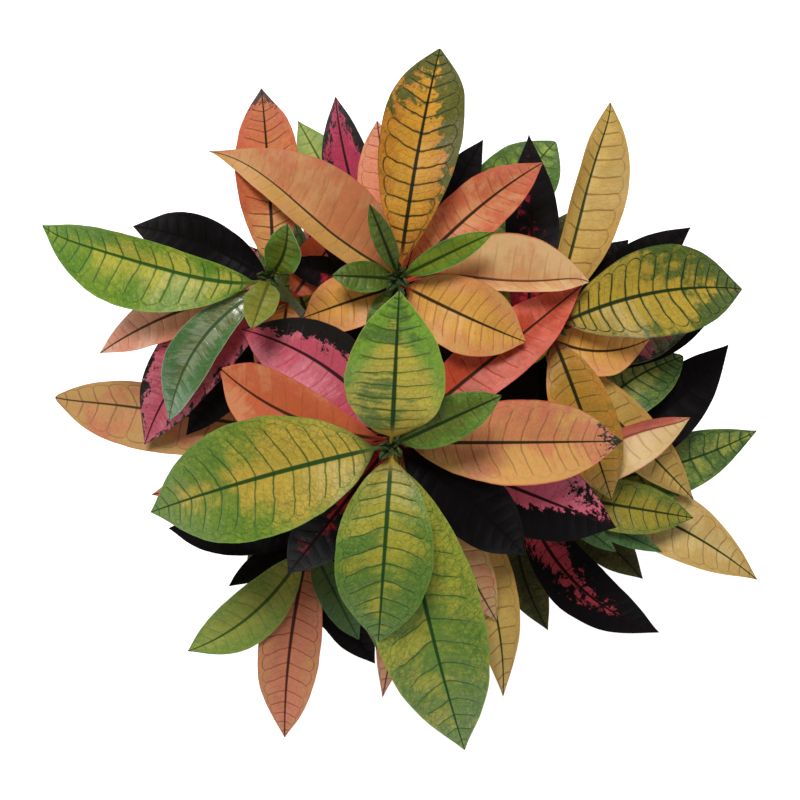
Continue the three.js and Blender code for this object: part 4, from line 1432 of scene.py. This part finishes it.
quilt_wave = (even_share * pairs * math.pi).sin().size()
quilt = quilt_wave * leaf_input("Quilting") * (out ** 0.8 * math.pi).sin() * full * (1.0 - petiole)
wobble_place = vector(leaf_tree, along * 5.0, side * 1.2, own_seed)
wobble = (noise(leaf_tree, wobble_place, 1.0, 1.0) - 0.5) * WOBBLE * out * full
lift = mixed(sheet + ridge, sheet * -1.0 - rib, underneath) + quilt
print("thickness set,", len(leaf_tree.nodes), "nodes")

# %% [markdown]
# ## Folded, arched and turned
# Seen from its tip a leaf is a shallow V, and seen from its side it rises from the stem and droops. The
# thickness is laid off at right angles to that arch. The leaf is then turned to its own direction.

# %% Fold and arch
WAVES_ALONG = 11.0
VALLEY_ROUNDING = 0.004
VALLEY_DEPTH = 0.063

wave = (along * WAVES_ALONG + side * 1.5 + carried(leaf_tree, "wave_phase")).sin()
wave = wave * full * leaf_input("Margin wave")
valley = (out * out + VALLEY_ROUNDING).root() - VALLEY_DEPTH
above = valley * (half * seat["fold"].sin() * full + wave) + lift + wobble

slope = (seat["rise"] - seat["drop"] * share * 2.0) / seat["reach"]
norm = (slope * slope + 1.0).root()
forward = seat["reach"] * share - slope / norm * above
upward = seat["rise"] * share - seat["drop"] * share * share + above / norm
across = (side * seat["fold"].cos() + carried(leaf_tree, "midrib_shift") * full * (1.0 - out)) * half
sideways = seat["bow"] * share * (1.0 - share) * 4.0 + across

azimuth = seat["azimuth"]
turned_x = forward * azimuth.cos() - sideways * azimuth.sin()
turned_y = forward * azimuth.sin() + sideways * azimuth.cos()
print("fold and arch set,", len(leaf_tree.nodes), "nodes")

# %% [markdown]
# ## The skin's coordinates
# What the skin reads is stored on the points while the tree still knows it: the place among the veins, the
# place in millimetres, and the spacing of the veins with the half width of the blade. A step for each
# leaf keeps two leaves from having the same spots.

# %% Coordinates for the skin
SEED_STEP = 40.0
MM_IN_METRE = 1000.0

vein_place = vector(leaf_tree, even_share * pairs, side, along)
along_mm = share * seat["reach"] * MM_IN_METRE
leaf_place = vector(leaf_tree, along_mm, side * half * MM_IN_METRE, own_seed * SEED_STEP)
crowding = 1.0 - (even_share * (2 * math.pi)).cos() * VEIN_CROWDING
vein_gap = seat["reach"] * (1.0 - PETIOLE_SHARE) * crowding / pairs * MM_IN_METRE
leaf_measure = vector(leaf_tree, vein_gap, half * MM_IN_METRE, petiole ** 2.0)

geometry = store(leaf_tree, realized.outputs[0], "vein_place", vein_place, "FLOAT_VECTOR")
geometry = store(leaf_tree, geometry, "leaf_place", leaf_place, "FLOAT_VECTOR")
geometry = store(leaf_tree, geometry, "leaf_measure", leaf_measure, "FLOAT_VECTOR")
geometry = store(leaf_tree, geometry, "face", upper)
print("coordinates stored,", len(leaf_tree.nodes), "nodes")

# %% [markdown]
# ## Shaping and dressing the leaves
# Now every point moves to its place. The seam and the two ends are merged, so that each leaf is closed.
# Its faces are shaded smoothly except over the margin, where the two sides meet at a sharp edge. Each
# leaf then gets the material whose number its seat carries.

# %% Finish the leaf tree
MARGIN_ANGLE = math.radians(50)

moved = chain(leaf_tree, "GeometryNodeSetPosition", geometry)
leaf_tree.links.new(vector(leaf_tree, turned_x, turned_y, upward), moved.inputs["Offset"])
smooth = smooth_closed(leaf_tree, moved.outputs[0])
crisp = chain(leaf_tree, "GeometryNodeSetShadeSmooth", smooth.outputs[0], domain="EDGE")
edge_angle = leaf_tree.nodes.new("GeometryNodeInputMeshEdgeAngle").outputs["Unsigned Angle"]
sharp = Field(leaf_tree, edge_angle).math("GREATER_THAN", MARGIN_ANGLE)
leaf_tree.links.new(sharp.socket, crisp.inputs["Selection"])
crisp.inputs["Shade Smooth"].default_value = False

geometry = crisp.outputs[0]
for number, material in enumerate(leaf_materials):
    mine = carried(leaf_tree, "finish").math("COMPARE", number, 0.1)
    geometry = painted(leaf_tree, geometry, material, mine)
leaf_tree.links.new(geometry, leaf_out.inputs[0])
print("leaf tree has", len(leaf_tree.nodes), "nodes")

# %% [markdown]
# ## From tree to plain meshes
# A piece with live nodes would be slow to export, so the result of the tree is kept as a plain mesh. The
# modifier is set by its sockets' identifiers before the first evaluation, and goes with its object.

# %% Make a plain piece
def set_inputs(modifier, tree, values):
    for item in tree.interface.items_tree:
        if item.item_type == "SOCKET" and item.in_out == "INPUT" and item.name in values:
            modifier[item.identifier] = values[item.name]


def finished_mesh(holder, name):
    """The mesh that an object's modifiers make. The object itself is removed."""
    bpy.context.view_layer.update()
    graph = bpy.context.evaluated_depsgraph_get()
    mesh = bpy.data.meshes.new_from_object(holder.evaluated_get(graph))
    bpy.data.objects.remove(holder)
    mesh.name = name
    return mesh


def plain_piece(name, mesh, tree, values=None):
    """Runs a tree on a mesh and returns an object with the finished mesh and no modifier."""
    holder = in_scene(name + "_source", mesh)
    modifier = holder.modifiers.new("shape", "NODES")
    modifier.node_group = tree
    set_inputs(modifier, tree, values or {})
    return in_scene(name, finished_mesh(holder, name))


print("ready to make plain pieces")

# %% [markdown]
# ## Only what a piece wears
# The tree hands every piece all the leaf materials, and each point still carries the numbers that shaped
# it. Materials that no face wears are taken off, and so are the attributes that are used up.

# %% Drop what isn't worn
SHAPING_ONLY = SEAT_NUMBERS + (
    "wave_phase", "size_class", "finish", "ring", "column", "pairs", "belly", "midrib_shift"
)


def drop_unused_materials(mesh):
    worn = [0] * len(mesh.polygons)
    mesh.polygons.foreach_get("material_index", worn)
    kept = sorted(set(worn))
    materials = [mesh.materials[number] for number in kept]
    mesh.materials.clear()
    for material in materials:
        mesh.materials.append(material)
    mesh.polygons.foreach_set("material_index", [kept.index(number) for number in worn])
    mesh.update()


def drop_attributes(mesh, names):
    for label in names:
        if label in mesh.attributes:
            mesh.attributes.remove(mesh.attributes[label])


print(len(SHAPING_ONLY), "attributes only shape the leaves")

# %% [markdown]
# ## Leafy pieces
# The packed model has a node for each leafy stem, and another for its green shoot where it has one. The
# leaves of one such node become one piece, which rides on the same body and stands for that node.

# %% Leafy pieces
BELOW_ALL = 1000


def stand_for(piece, node):
    """Puts a finished piece on the plant's one body, in the place of a packed node."""
    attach(piece, "root")
    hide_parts(node)
    triangles = sum(len(face.vertices) - 2 for face in piece.data.polygons)
    print(piece.name, "stands for", node, "with", triangles, "triangles")


def leafy_piece(node, stem_name, top_depth, bottom_depth):
    """All the leaves that sit on one length of a stem, as one piece that stands for its node."""
    rows = [leaf for leaf in leaves[stem_name] if top_depth <= leaf.depth < bottom_depth]
    piece = plain_piece(node + "_leaves", seat_points(node, stems[stem_name], rows), leaf_tree)
    drop_unused_materials(piece.data)
    drop_attributes(piece.data, SHAPING_ONLY)
    stand_for(piece, node)


for stem_name, stem in stems.items():
    if stem["cut"]:
        leafy_piece(stem_name + "_shoot", stem_name, 0, stem["cut"])
    leafy_piece(stem_name, stem_name, stem["cut"], BELOW_ALL)

# %% [markdown]
# ## Bark
# Between soil and leaves each stem is a woody cane, grey-brown, with pale corky specks and the dark scars
# of fallen leaves, and green at its growing tip. The mesh says how young and how scarred each point is.

# %% Cane finish
def object_place(tree):
    return tree.nodes.new("ShaderNodeTexCoord").outputs["Object"]


def cane_finish():
    """Grey-brown bark that turns green near the growing tip, with pale corky specks and leaf scars."""
    material, tree, shader = plain_material("cane_bark", 0.75, 0.3)
    place = object_place(tree)
    grain = noise(tree, place, 260.0, 4.0, 0.6)
    youth = Field(tree, read_attribute(tree, "cane_youth").outputs["Fac"])
    scar = Field(tree, read_attribute(tree, "cane_scar").outputs["Fac"])
    bark = blend_colour(tree, seen(88, 74, 58), seen(142, 126, 102), grain.ramp(0.35, 0.7))
    specks = noise(tree, place, 900.0, 1.0).ramp(0.66, 0.72)
    bark = blend_colour(tree, bark, seen(176, 164, 140), specks * 0.7)
    bark = blend_colour(tree, bark, seen(54, 42, 34), scar)
    green = blend_colour(tree, seen(70, 92, 44), seen(96, 116, 56), grain)
    colour = blend_colour(tree, bark, green, (youth + (grain - 0.5) * 0.3).ramp(0.62, 0.9))
    tree.links.new(colour, shader.inputs["Base Color"])
    bumped(tree, shader, grain + scar * -0.6, 0.5, 0.0006)
    return material


cane_material = cane_finish()
print("cane finish", cane_material.name)

# %% [markdown]
# ## The rule of a cane
# A cane follows a rule as well: rings of points round a leaning axis, a little knobbly, with a scar at each
# step of the spiral. One tree makes them all and reads the stem's numbers from its named inputs.

# %% Cane tree
CANE_SIZES = ("Root X", "Root Y", "Tip X", "Tip Y", "Top", "Radius", "Bottom", "End")
CANE_SIDES = 20
CANE_RING_STEP = 1.6
CANE_FEWEST_RINGS = 12
SCAR_STEP = 9.5 * MM
BARK_SWELL = 0.10
KNOB_SWELL = 0.07
SCAR_HOLLOW = 0.06
CANE_CLOSING = 0.06

cane_inputs = dict.fromkeys(CANE_SIZES, 0.0)
cane_inputs.update({"Rings": CANE_FEWEST_RINGS, "Sides": CANE_SIDES})
cane_tree, cane_in, cane_out = new_shape_tree("croton_cane", cane_inputs)


def cane_input(label):
    return Field(cane_tree, cane_in.outputs[label])


grid, round_share, up = unit_grid(cane_tree, cane_input("Sides") + 1.0, cane_input("Rings") + 1.0)
turn = round_share * (2 * math.pi)
up = up.within(0.0, 1.0)
height = mixed(cane_input("Bottom"), cane_input("End"), up)
share = ((height - SOIL_TOP * MM) / (cane_input("Top") - SOIL_TOP * MM)).within(0.0, 1.0)
lean = share ** LEAN_POWER
axis_x = mixed(cane_input("Root X"), cane_input("Tip X"), lean)
axis_y = mixed(cane_input("Root Y"), cane_input("Tip Y"), lean)
print("axis of the cane set,", len(cane_tree.nodes), "nodes")

# %% [markdown]
# ## Knobs and scars
# A leaf that falls leaves a scar on a small knob. The knobs follow the same spiral turn as the leaves, one
# for each step of height, and fade out where the cane is young.

# %% Cane surface
scar_turn = (height / SCAR_STEP).math("FLOOR") * SPIRAL_TURN
facing = (turn - scar_turn).cos()
scar_height = ((height / SCAR_STEP).math("FRACT") - 0.5).size()
scar = facing.ramp(0.62, 0.8) * (1.0 - scar_height.ramp(0.10, 0.22)) * (1.0 - share.ramp(0.75, 0.95))
knob = (1.0 - scar_height.ramp(0.15, 0.5)) * facing.ramp(0.2, 0.9)
rough = noise(cane_tree, vector(cane_tree, turn.cos(), turn.sin(), height * 60.0), 1.3, 3.0)
swell = 1.0 + (rough - 0.5) * BARK_SWELL + knob * KNOB_SWELL - scar * SCAR_HOLLOW
end_shape = (up * (1.0 - up) * 4.0).within(0.0, 1.0)
closing = (end_shape / CANE_CLOSING).within(0.0, 1.0).root()
radius = cane_input("Radius") * (1.0 - share * STEM_TAPER) * swell * closing

geometry = store(cane_tree, grid, "cane_youth", share)
geometry = store(cane_tree, geometry, "cane_scar", scar)
moved = chain(cane_tree, "GeometryNodeSetPosition", geometry)
spot = vector(cane_tree, axis_x + radius * turn.cos(), axis_y + radius * turn.sin(), height)
cane_tree.links.new(spot, moved.inputs["Position"])
smooth = smooth_closed(cane_tree, moved.outputs[0])
real = chain(cane_tree, "GeometryNodeRealizeInstances", smooth.outputs[0])
cane_tree.links.new(painted(cane_tree, real.outputs[0], cane_material), cane_out.inputs[0])
print("cane tree has", len(cane_tree.nodes), "nodes")

# %% [markdown]
# ## The canes
# A stem with a green shoot has two lengths of cane, with a gap of 0.3 mm between them, because the packed
# model has a node for each. The lower one goes down into its socket in the soil.

# %% Canes
def cane_piece(node, stem, bottom, end):
    """One length of cane, from bottom to end in millimetres of height."""
    numbers = (*stem["root"], *stem["tip"], stem["top"], stem["radius"], bottom, end)
    values = {label: number * MM for label, number in zip(CANE_SIZES, numbers)}
    values["Rings"] = max(CANE_FEWEST_RINGS, round((end - bottom) / CANE_RING_STEP))
    piece = plain_piece(node + "_cane", bpy.data.meshes.new(node), cane_tree, values)
    stand_for(piece, node)


for stem_name, stem in stems.items():
    shoot_bottom = stem["top"] - stem["cut"]
    if stem["cut"]:
        cane_piece(stem_name + "_shoot", stem, shoot_bottom, stem["top"])
    gap = SHOOT_GAP if stem["cut"] else 0
    cane_piece(stem_name, stem, SOIL_TOP - STEM_SOCKET_DEPTH, shoot_bottom - gap)

# %% [markdown]
# ## Clay
# No view of the pot is in the photograph, so it is a plain clay nursery pot of the common size. The clay is
# matte and a little uneven, with a faint ring or two from the wheel and a pale bloom low down.

# %% Pot finish
def clay_finish():
    material, tree, shader = plain_material("pot_clay", 0.85, 0.25)
    place = object_place(tree)
    x, y, z = split(tree, place)
    cloud = noise(tree, place, 14.0, 4.0, 0.6)
    grain = noise(tree, place, 420.0, 3.0, 0.6)
    clay = blend_colour(tree, seen(168, 96, 66), seen(188, 116, 82), cloud.ramp(0.3, 0.7))
    clay = blend_colour(tree, clay, seen(146, 80, 56), grain.ramp(0.55, 0.75) * 0.5)
    bloom_place = vector(tree, x, y, z * 0.35)
    bloom = noise(tree, bloom_place, 40.0, 4.0, 0.65).ramp(0.5, 0.68) * (1.0 - z.ramp(0.03, 0.11))
    clay = blend_colour(tree, clay, seen(214, 190, 168), bloom * 0.55)
    tree.links.new(clay, shader.inputs["Base Color"])
    rings = (z * 2600.0 + cloud * 6.0).sin() * 0.12
    bumped(tree, shader, grain * 0.7 + rings, 0.35, 0.0006)
    return material


pot_material = clay_finish()
print("pot finish", pot_material.name)

# %% [markdown]
# ## The outline of the pot
# A pot is a turned shape, so half of its outline is enough: up the outside, over the rim and down the
# inside. The corners are eased with small arcs, because no thrown or moulded pot has sharp ones.

# %% Pot outline
POT_SIDES = 144
POT_HEIGHT = 185
POT_BASE_RADIUS = 70
POT_TOP_RADIUS = 94
POT_RIM_RADIUS = 102
POT_RIM_DROP = 30
POT_WALL = 6
POT_FLOOR = 9
POT_EDGE_EASE = 2.4
RIM_BOTTOM = POT_HEIGHT - POT_RIM_DROP
WALL_SLOPE = (POT_TOP_RADIUS - POT_BASE_RADIUS) / RIM_BOTTOM
SLOPE_RUNS_ON = 15
INSIDE_TOP_RADIUS = POT_TOP_RADIUS - POT_WALL + WALL_SLOPE * SLOPE_RUNS_ON
INSIDE_FOOT_RADIUS = POT_BASE_RADIUS - POT_WALL + 2
FLOOR_RADIUS = POT_BASE_RADIUS - POT_WALL - 4
FLOOR_ROUNDING = 4


def eased(corners, radius, steps=4):
    """The outline with each corner after the first and before the last rounded by a small arc."""
    outline = [Vector(corners[0])]
    for before, corner, after in zip(corners, corners[1:], corners[2:]):
        corner = Vector(corner)
        back = Vector(before) - corner
        on = Vector(after) - corner
        start = corner + back.normalized() * min(radius, back.length * 0.45)
        end = corner + on.normalized() * min(radius, on.length * 0.45)
        for step in range(steps + 1):
            t = step / steps
            outline.append(start * (1 - t) ** 2 + corner * 2 * t * (1 - t) + end * t ** 2)
    outline.append(Vector(corners[-1]))
    return outline


pot_outline = eased([
    (0, 0),
    (POT_BASE_RADIUS, 0),
    (POT_TOP_RADIUS, RIM_BOTTOM - 1),
    (POT_RIM_RADIUS, RIM_BOTTOM + 1),
    (POT_RIM_RADIUS, POT_HEIGHT),
    (POT_RIM_RADIUS - POT_WALL, POT_HEIGHT),
    (INSIDE_TOP_RADIUS, RIM_BOTTOM),
    (INSIDE_FOOT_RADIUS, POT_FLOOR + FLOOR_ROUNDING),
    (FLOOR_RADIUS, POT_FLOOR),
    (0, POT_FLOOR),
], POT_EDGE_EASE)
print("pot outline has", len(pot_outline), "points")

# %% [markdown]
# ## Turning an outline
# An outline becomes a body as clay does on a wheel. Each of its points is carried round the axis to make
# a ring, neighbouring rings are joined by faces, and two fans close the middle below and above.

# %% Turned bodies
def turned_mesh(name, outline, sides):
    """A closed body turned round the pot's axis from an outline that starts and ends on the axis."""
    points = [(0.0, 0.0, outline[0].y * MM)]
    rings = outline[1:-1]
    for spot in rings:
        for i in range(sides):
            turn = 2 * math.pi * i / sides
            points.append((spot.x * MM * math.cos(turn), spot.x * MM * math.sin(turn), spot.y * MM))
    points.append((0.0, 0.0, outline[-1].y * MM))
    faces = [(0, 1 + (i + 1) % sides, 1 + i) for i in range(sides)]
    for row in range(len(rings) - 1):
        for i in range(sides):
            a = 1 + row * sides + i
            b = 1 + row * sides + (i + 1) % sides
            faces.append((a, b, b + sides, a + sides))
    last = len(points) - 1
    first = 1 + (len(rings) - 1) * sides
    faces.extend((first + i, first + (i + 1) % sides, last) for i in range(sides))
    mesh = bpy.data.meshes.new(name)
    mesh.from_pydata(points, [], faces)
    mesh.shade_smooth()
    return mesh


pot_body = turned_mesh("pot_source", pot_outline, POT_SIDES)
print("the turned pot has", len(pot_body.polygons), "faces")

# %% [markdown]
# ## Posts for the drainage holes
# Water has to run out, so four round holes go through the floor. A potter pushes a cutter right through
# the clay, and here four round posts do the same. They stand out above and below, so the cut is clean.

# %% Drain posts
DRAIN_RADIUS = 6
DRAIN_CIRCLE = 36
DRAIN_COUNT = 4
DRAIN_SIDES = 32
DRAIN_OVERSHOOT = 5


def ring_points(centre, radius, height, sides):
    """Points round a level circle, in millimetres."""
    turns = [2 * math.pi * i / sides for i in range(sides)]
    return [centre + Vector((radius * math.cos(turn), radius * math.sin(turn), height)) for turn in turns]


def drain_cutter():
    """Round posts that cut the drainage holes out of the pot's floor."""
    points = []
    faces = []
    sides = DRAIN_SIDES
    for hole in range(DRAIN_COUNT):
        angle = (hole + 0.5) / DRAIN_COUNT * 2 * math.pi
        centre = Vector((DRAIN_CIRCLE * math.cos(angle), DRAIN_CIRCLE * math.sin(angle), 0))
        first = len(points)
        for level in (-DRAIN_OVERSHOOT, POT_FLOOR + DRAIN_OVERSHOOT):
            points += [spot * MM for spot in ring_points(centre, DRAIN_RADIUS, level, sides)]
        faces.append([first + i for i in reversed(range(sides))])
        faces.append([first + sides + i for i in range(sides)])
        for i in range(sides):
            j = (i + 1) % sides
            faces.append((first + i, first + j, first + sides + j, first + sides + i))
    mesh = bpy.data.meshes.new("drain_cutter")
    mesh.from_pydata(points, [], faces)
    return in_scene("drain_cutter", mesh)


print(DRAIN_COUNT, "drain posts of radius", DRAIN_RADIUS, "mm")

# %% [markdown]
# ## The pot
# A Boolean takes the posts out of the turned body, and what is left is kept as a plain mesh. It is shaded
# smoothly except where two faces meet at a sharp angle, round the holes and under the rim.

# %% Pot
POT_SHARP_ANGLE = math.radians(50)


def pot_piece():
    source = in_scene("pot_source", pot_body)
    cutter = drain_cutter()
    cut = source.modifiers.new("drain holes", "BOOLEAN")
    cut.object = cutter
    cut.solver = "EXACT"
    mesh = finished_mesh(source, "clay_pot")
    bpy.data.objects.remove(cutter)
    mesh.materials.clear()
    mesh.materials.append(pot_material)
    mesh.set_sharp_from_angle(angle=POT_SHARP_ANGLE)
    stand_for(in_scene("clay_pot", mesh), "pot")


pot_piece()

# %% [markdown]
# ## Earth and bark
# Potting soil is dark and crumbly, a mix of peat and bits of bark. Both get the same kind of finish, with
# other colours and a coarser or finer grain.

# %% Soil finish
def soil_finish(name, dark, light, grain_scale):
    material, tree, shader = plain_material(name, 0.95, 0.2)
    place = object_place(tree)
    grain = noise(tree, place, grain_scale, 5.0, 0.7)
    colour = blend_colour(tree, seen(*dark), seen(*light), grain.ramp(0.35, 0.7))
    tree.links.new(colour, shader.inputs["Base Color"])
    bumped(tree, shader, grain, 0.8, 0.0015)
    return material


soil_material = soil_finish("potting_soil", (34, 25, 19), (70, 52, 38), 240.0)
crumb_material = soil_finish("bark_crumb", (58, 40, 28), (112, 82, 56), 180.0)
print("soil finishes", soil_material.name, crumb_material.name)

# %% [markdown]
# ## The body of the soil
# The soil fills the pot with a hair of room all round and stands a little higher in the middle. It is
# turned like the pot, with close rings on top, so that there are points enough to heave.

# %% Soil outline
SOIL_SIDES = 96
SOIL_CROWN = 4
SOIL_RINGS = 26
SEAT_GAP = 0.3
SOIL_RADIUS = INSIDE_TOP_RADIUS - SEAT_GAP


def soil_top(inward):
    """A point of the soil's top, from its edge at 0 to the middle at 1."""
    return (SOIL_RADIUS - 2) * (1 - inward), SOIL_TOP + SOIL_CROWN * math.sin(inward * math.pi / 2)


soil_outline = [
    (0, POT_FLOOR + SEAT_GAP),
    (FLOOR_RADIUS - SEAT_GAP, POT_FLOOR + SEAT_GAP),
    (INSIDE_FOOT_RADIUS - SEAT_GAP, POT_FLOOR + FLOOR_ROUNDING + SEAT_GAP),
    (SOIL_RADIUS, RIM_BOTTOM),
    (SOIL_RADIUS + 1, SOIL_TOP - 2),
]
soil_outline += [soil_top(ring / SOIL_RINGS) for ring in range(SOIL_RINGS + 1)]
soil_outline = [Vector(spot) for spot in soil_outline]
print("soil outline has", len(soil_outline), "points")

# %% [markdown]
# ## Heaved soil
# Watering and roots leave the top of the soil uneven. A noise moves its points up and down here, and only
# on top, because the sides and the bottom have to keep clear of the pot.

# %% Heaved soil
CRUMB_INPUTS = {"Crumb size": 1.7 * MM, "Crumbs per square metre": 65000.0, "Heave": 2.2 * MM}
SCATTER_SEED = 7
STRETCH_SEED = 11
TURN_SEED = 12
CRUMB_STRETCH = ((0.5, 0.4, 0.3), (1.7, 1.0, 0.8))
CRUMB_TURN = ((0, 0, 0), (6.3, 6.3, 6.3))

crumb_tree, crumb_in, crumb_out = new_shape_tree("soil_crumbs", CRUMB_INPUTS)

place = crumb_tree.nodes.new("GeometryNodeInputPosition").outputs[0]
on_top = split(crumb_tree, place)[2].ramp((SOIL_TOP - 1) * MM, (SOIL_TOP + 0.5) * MM)
clods = (noise(crumb_tree, place, 90.0, 4.0, 0.6) - 0.5) * on_top
heave = clods * Field(crumb_tree, crumb_in.outputs["Heave"])
heaved = chain(crumb_tree, "GeometryNodeSetPosition", crumb_in.outputs["Geometry"])
crumb_tree.links.new(vector(crumb_tree, 0.0, 0.0, heave), heaved.inputs["Offset"])
bed = painted(crumb_tree, heaved.outputs[0], soil_material)
print("the top heaves by up to", CRUMB_INPUTS["Heave"] / MM, "mm")

# %% [markdown]
# ## Strewing the crumbs
# Crumbs of bark and peat lie on the soil, half sunk in it. Points are scattered over the top with a fixed
# seed, and each gets a coarse ball that is stretched and turned at random, so no two look alike. There
# are hundreds of them, so each has only a few faces.

# %% Strewn crumbs
strewn = chain(crumb_tree, "GeometryNodeDistributePointsOnFaces", heaved.outputs[0])
crumb_tree.links.new(on_top.math("GREATER_THAN", 0.5).socket, strewn.inputs["Selection"])
crumb_tree.links.new(crumb_in.outputs["Crumbs per square metre"], strewn.inputs["Density"])
strewn.inputs["Seed"].default_value = SCATTER_SEED
crumb = crumb_tree.nodes.new("GeometryNodeMeshIcoSphere")
crumb_tree.links.new(crumb_in.outputs["Crumb size"], crumb.inputs["Radius"])
crumb.inputs["Subdivisions"].default_value = 1
spots = crumb_tree.nodes.new("GeometryNodeInstanceOnPoints")
crumb_tree.links.new(strewn.outputs["Points"], spots.inputs["Points"])
crumb_tree.links.new(crumb.outputs["Mesh"], spots.inputs["Instance"])


def random_vector(tree, low, high, seed):
    node = tree.nodes.new("FunctionNodeRandomValue")
    node.data_type = "FLOAT_VECTOR"
    node.inputs[0].default_value = low
    node.inputs[1].default_value = high
    node.inputs["Seed"].default_value = seed
    return node.outputs[0]


stretch = random_vector(crumb_tree, *CRUMB_STRETCH, STRETCH_SEED)
crumb_tree.links.new(stretch, spots.inputs["Scale"])
crumb_turn = random_vector(crumb_tree, *CRUMB_TURN, TURN_SEED)
crumb_tree.links.new(crumb_turn, spots.inputs["Rotation"])
crumbs = chain(crumb_tree, "GeometryNodeRealizeInstances", spots.outputs[0])
crumbs = painted(crumb_tree, crumbs.outputs[0], crumb_material)
both = crumb_tree.nodes.new("GeometryNodeJoinGeometry")
for part in (bed, crumbs):
    crumb_tree.links.new(part, both.inputs[0])
crumb_tree.links.new(both.outputs[0], crumb_out.inputs[0])

soil = plain_piece("crumbly_soil", turned_mesh("soil", soil_outline, SOIL_SIDES), crumb_tree)
stand_for(soil, "soil")

# %% [markdown]
# ## The floor
# The plant stands on a plain pale floor that runs far past the picture. It glows faintly, so that it stays
# white around the foliage, as the plain ground of the photograph does.

# %% Floor
FLOOR_SIZE = 30.0
FLOOR_DROP = 0.5 * MM
FLOOR_PALE = (0.86, 0.86, 0.86, 1.0)
FLOOR_GLOW = 0.9
WHITE = (1.0, 1.0, 1.0, 1.0)

edge = FLOOR_SIZE / 2
corners = [(-edge, -edge, 0), (edge, -edge, 0), (edge, edge, 0), (-edge, edge, 0)]
floor_mesh = bpy.data.meshes.new("floor")
floor_mesh.from_pydata(corners, [], [(0, 1, 2, 3)])
floor = in_scene("floor", floor_mesh)
floor.location.z = -FLOOR_DROP
floor_material, _, floor_shader = plain_material("pale_floor", 0.9, 0.1)
floor_shader.inputs["Base Color"].default_value = FLOOR_PALE
floor_shader.inputs["Emission Color"].default_value = WHITE
floor_shader.inputs["Emission Strength"].default_value = FLOOR_GLOW
floor_mesh.materials.append(floor_material)
print("floor is", FLOOR_SIZE, "m wide")

# %% [markdown]
# ## The light
# The light is soft: a broad sun that comes from beyond the top of the picture, as the lighter halves of the
# folded leaves show, and an even white sky that fills the shadows.

# %% Light
SUN_STRENGTH = 2.15
SUN_SPREAD = 18
SUN_FROM = (-0.10, 0.45, 1.0)
SKY_STRENGTH = 0.24

sun_data = bpy.data.lights.new("window_light", "SUN")
sun_data.energy = SUN_STRENGTH
sun_data.angle = math.radians(SUN_SPREAD)
sun = in_scene("window_light", sun_data)
sun.rotation_euler = Vector(SUN_FROM).to_track_quat("Z", "Y").to_euler()

sky = bpy.data.worlds.new("even_sky")
sky.use_nodes = True
sky.node_tree.nodes["Background"].inputs["Color"].default_value = WHITE
sky.node_tree.nodes["Background"].inputs["Strength"].default_value = SKY_STRENGTH
bpy.context.scene.world = sky
print("sun of", SUN_STRENGTH, "over a sky of", SKY_STRENGTH)

# %% [markdown]
# ## The last update
# The looks mustn't change the plant's size. At the end the scene is brought up to date once more.

# %% Finish
bpy.context.view_layer.update()
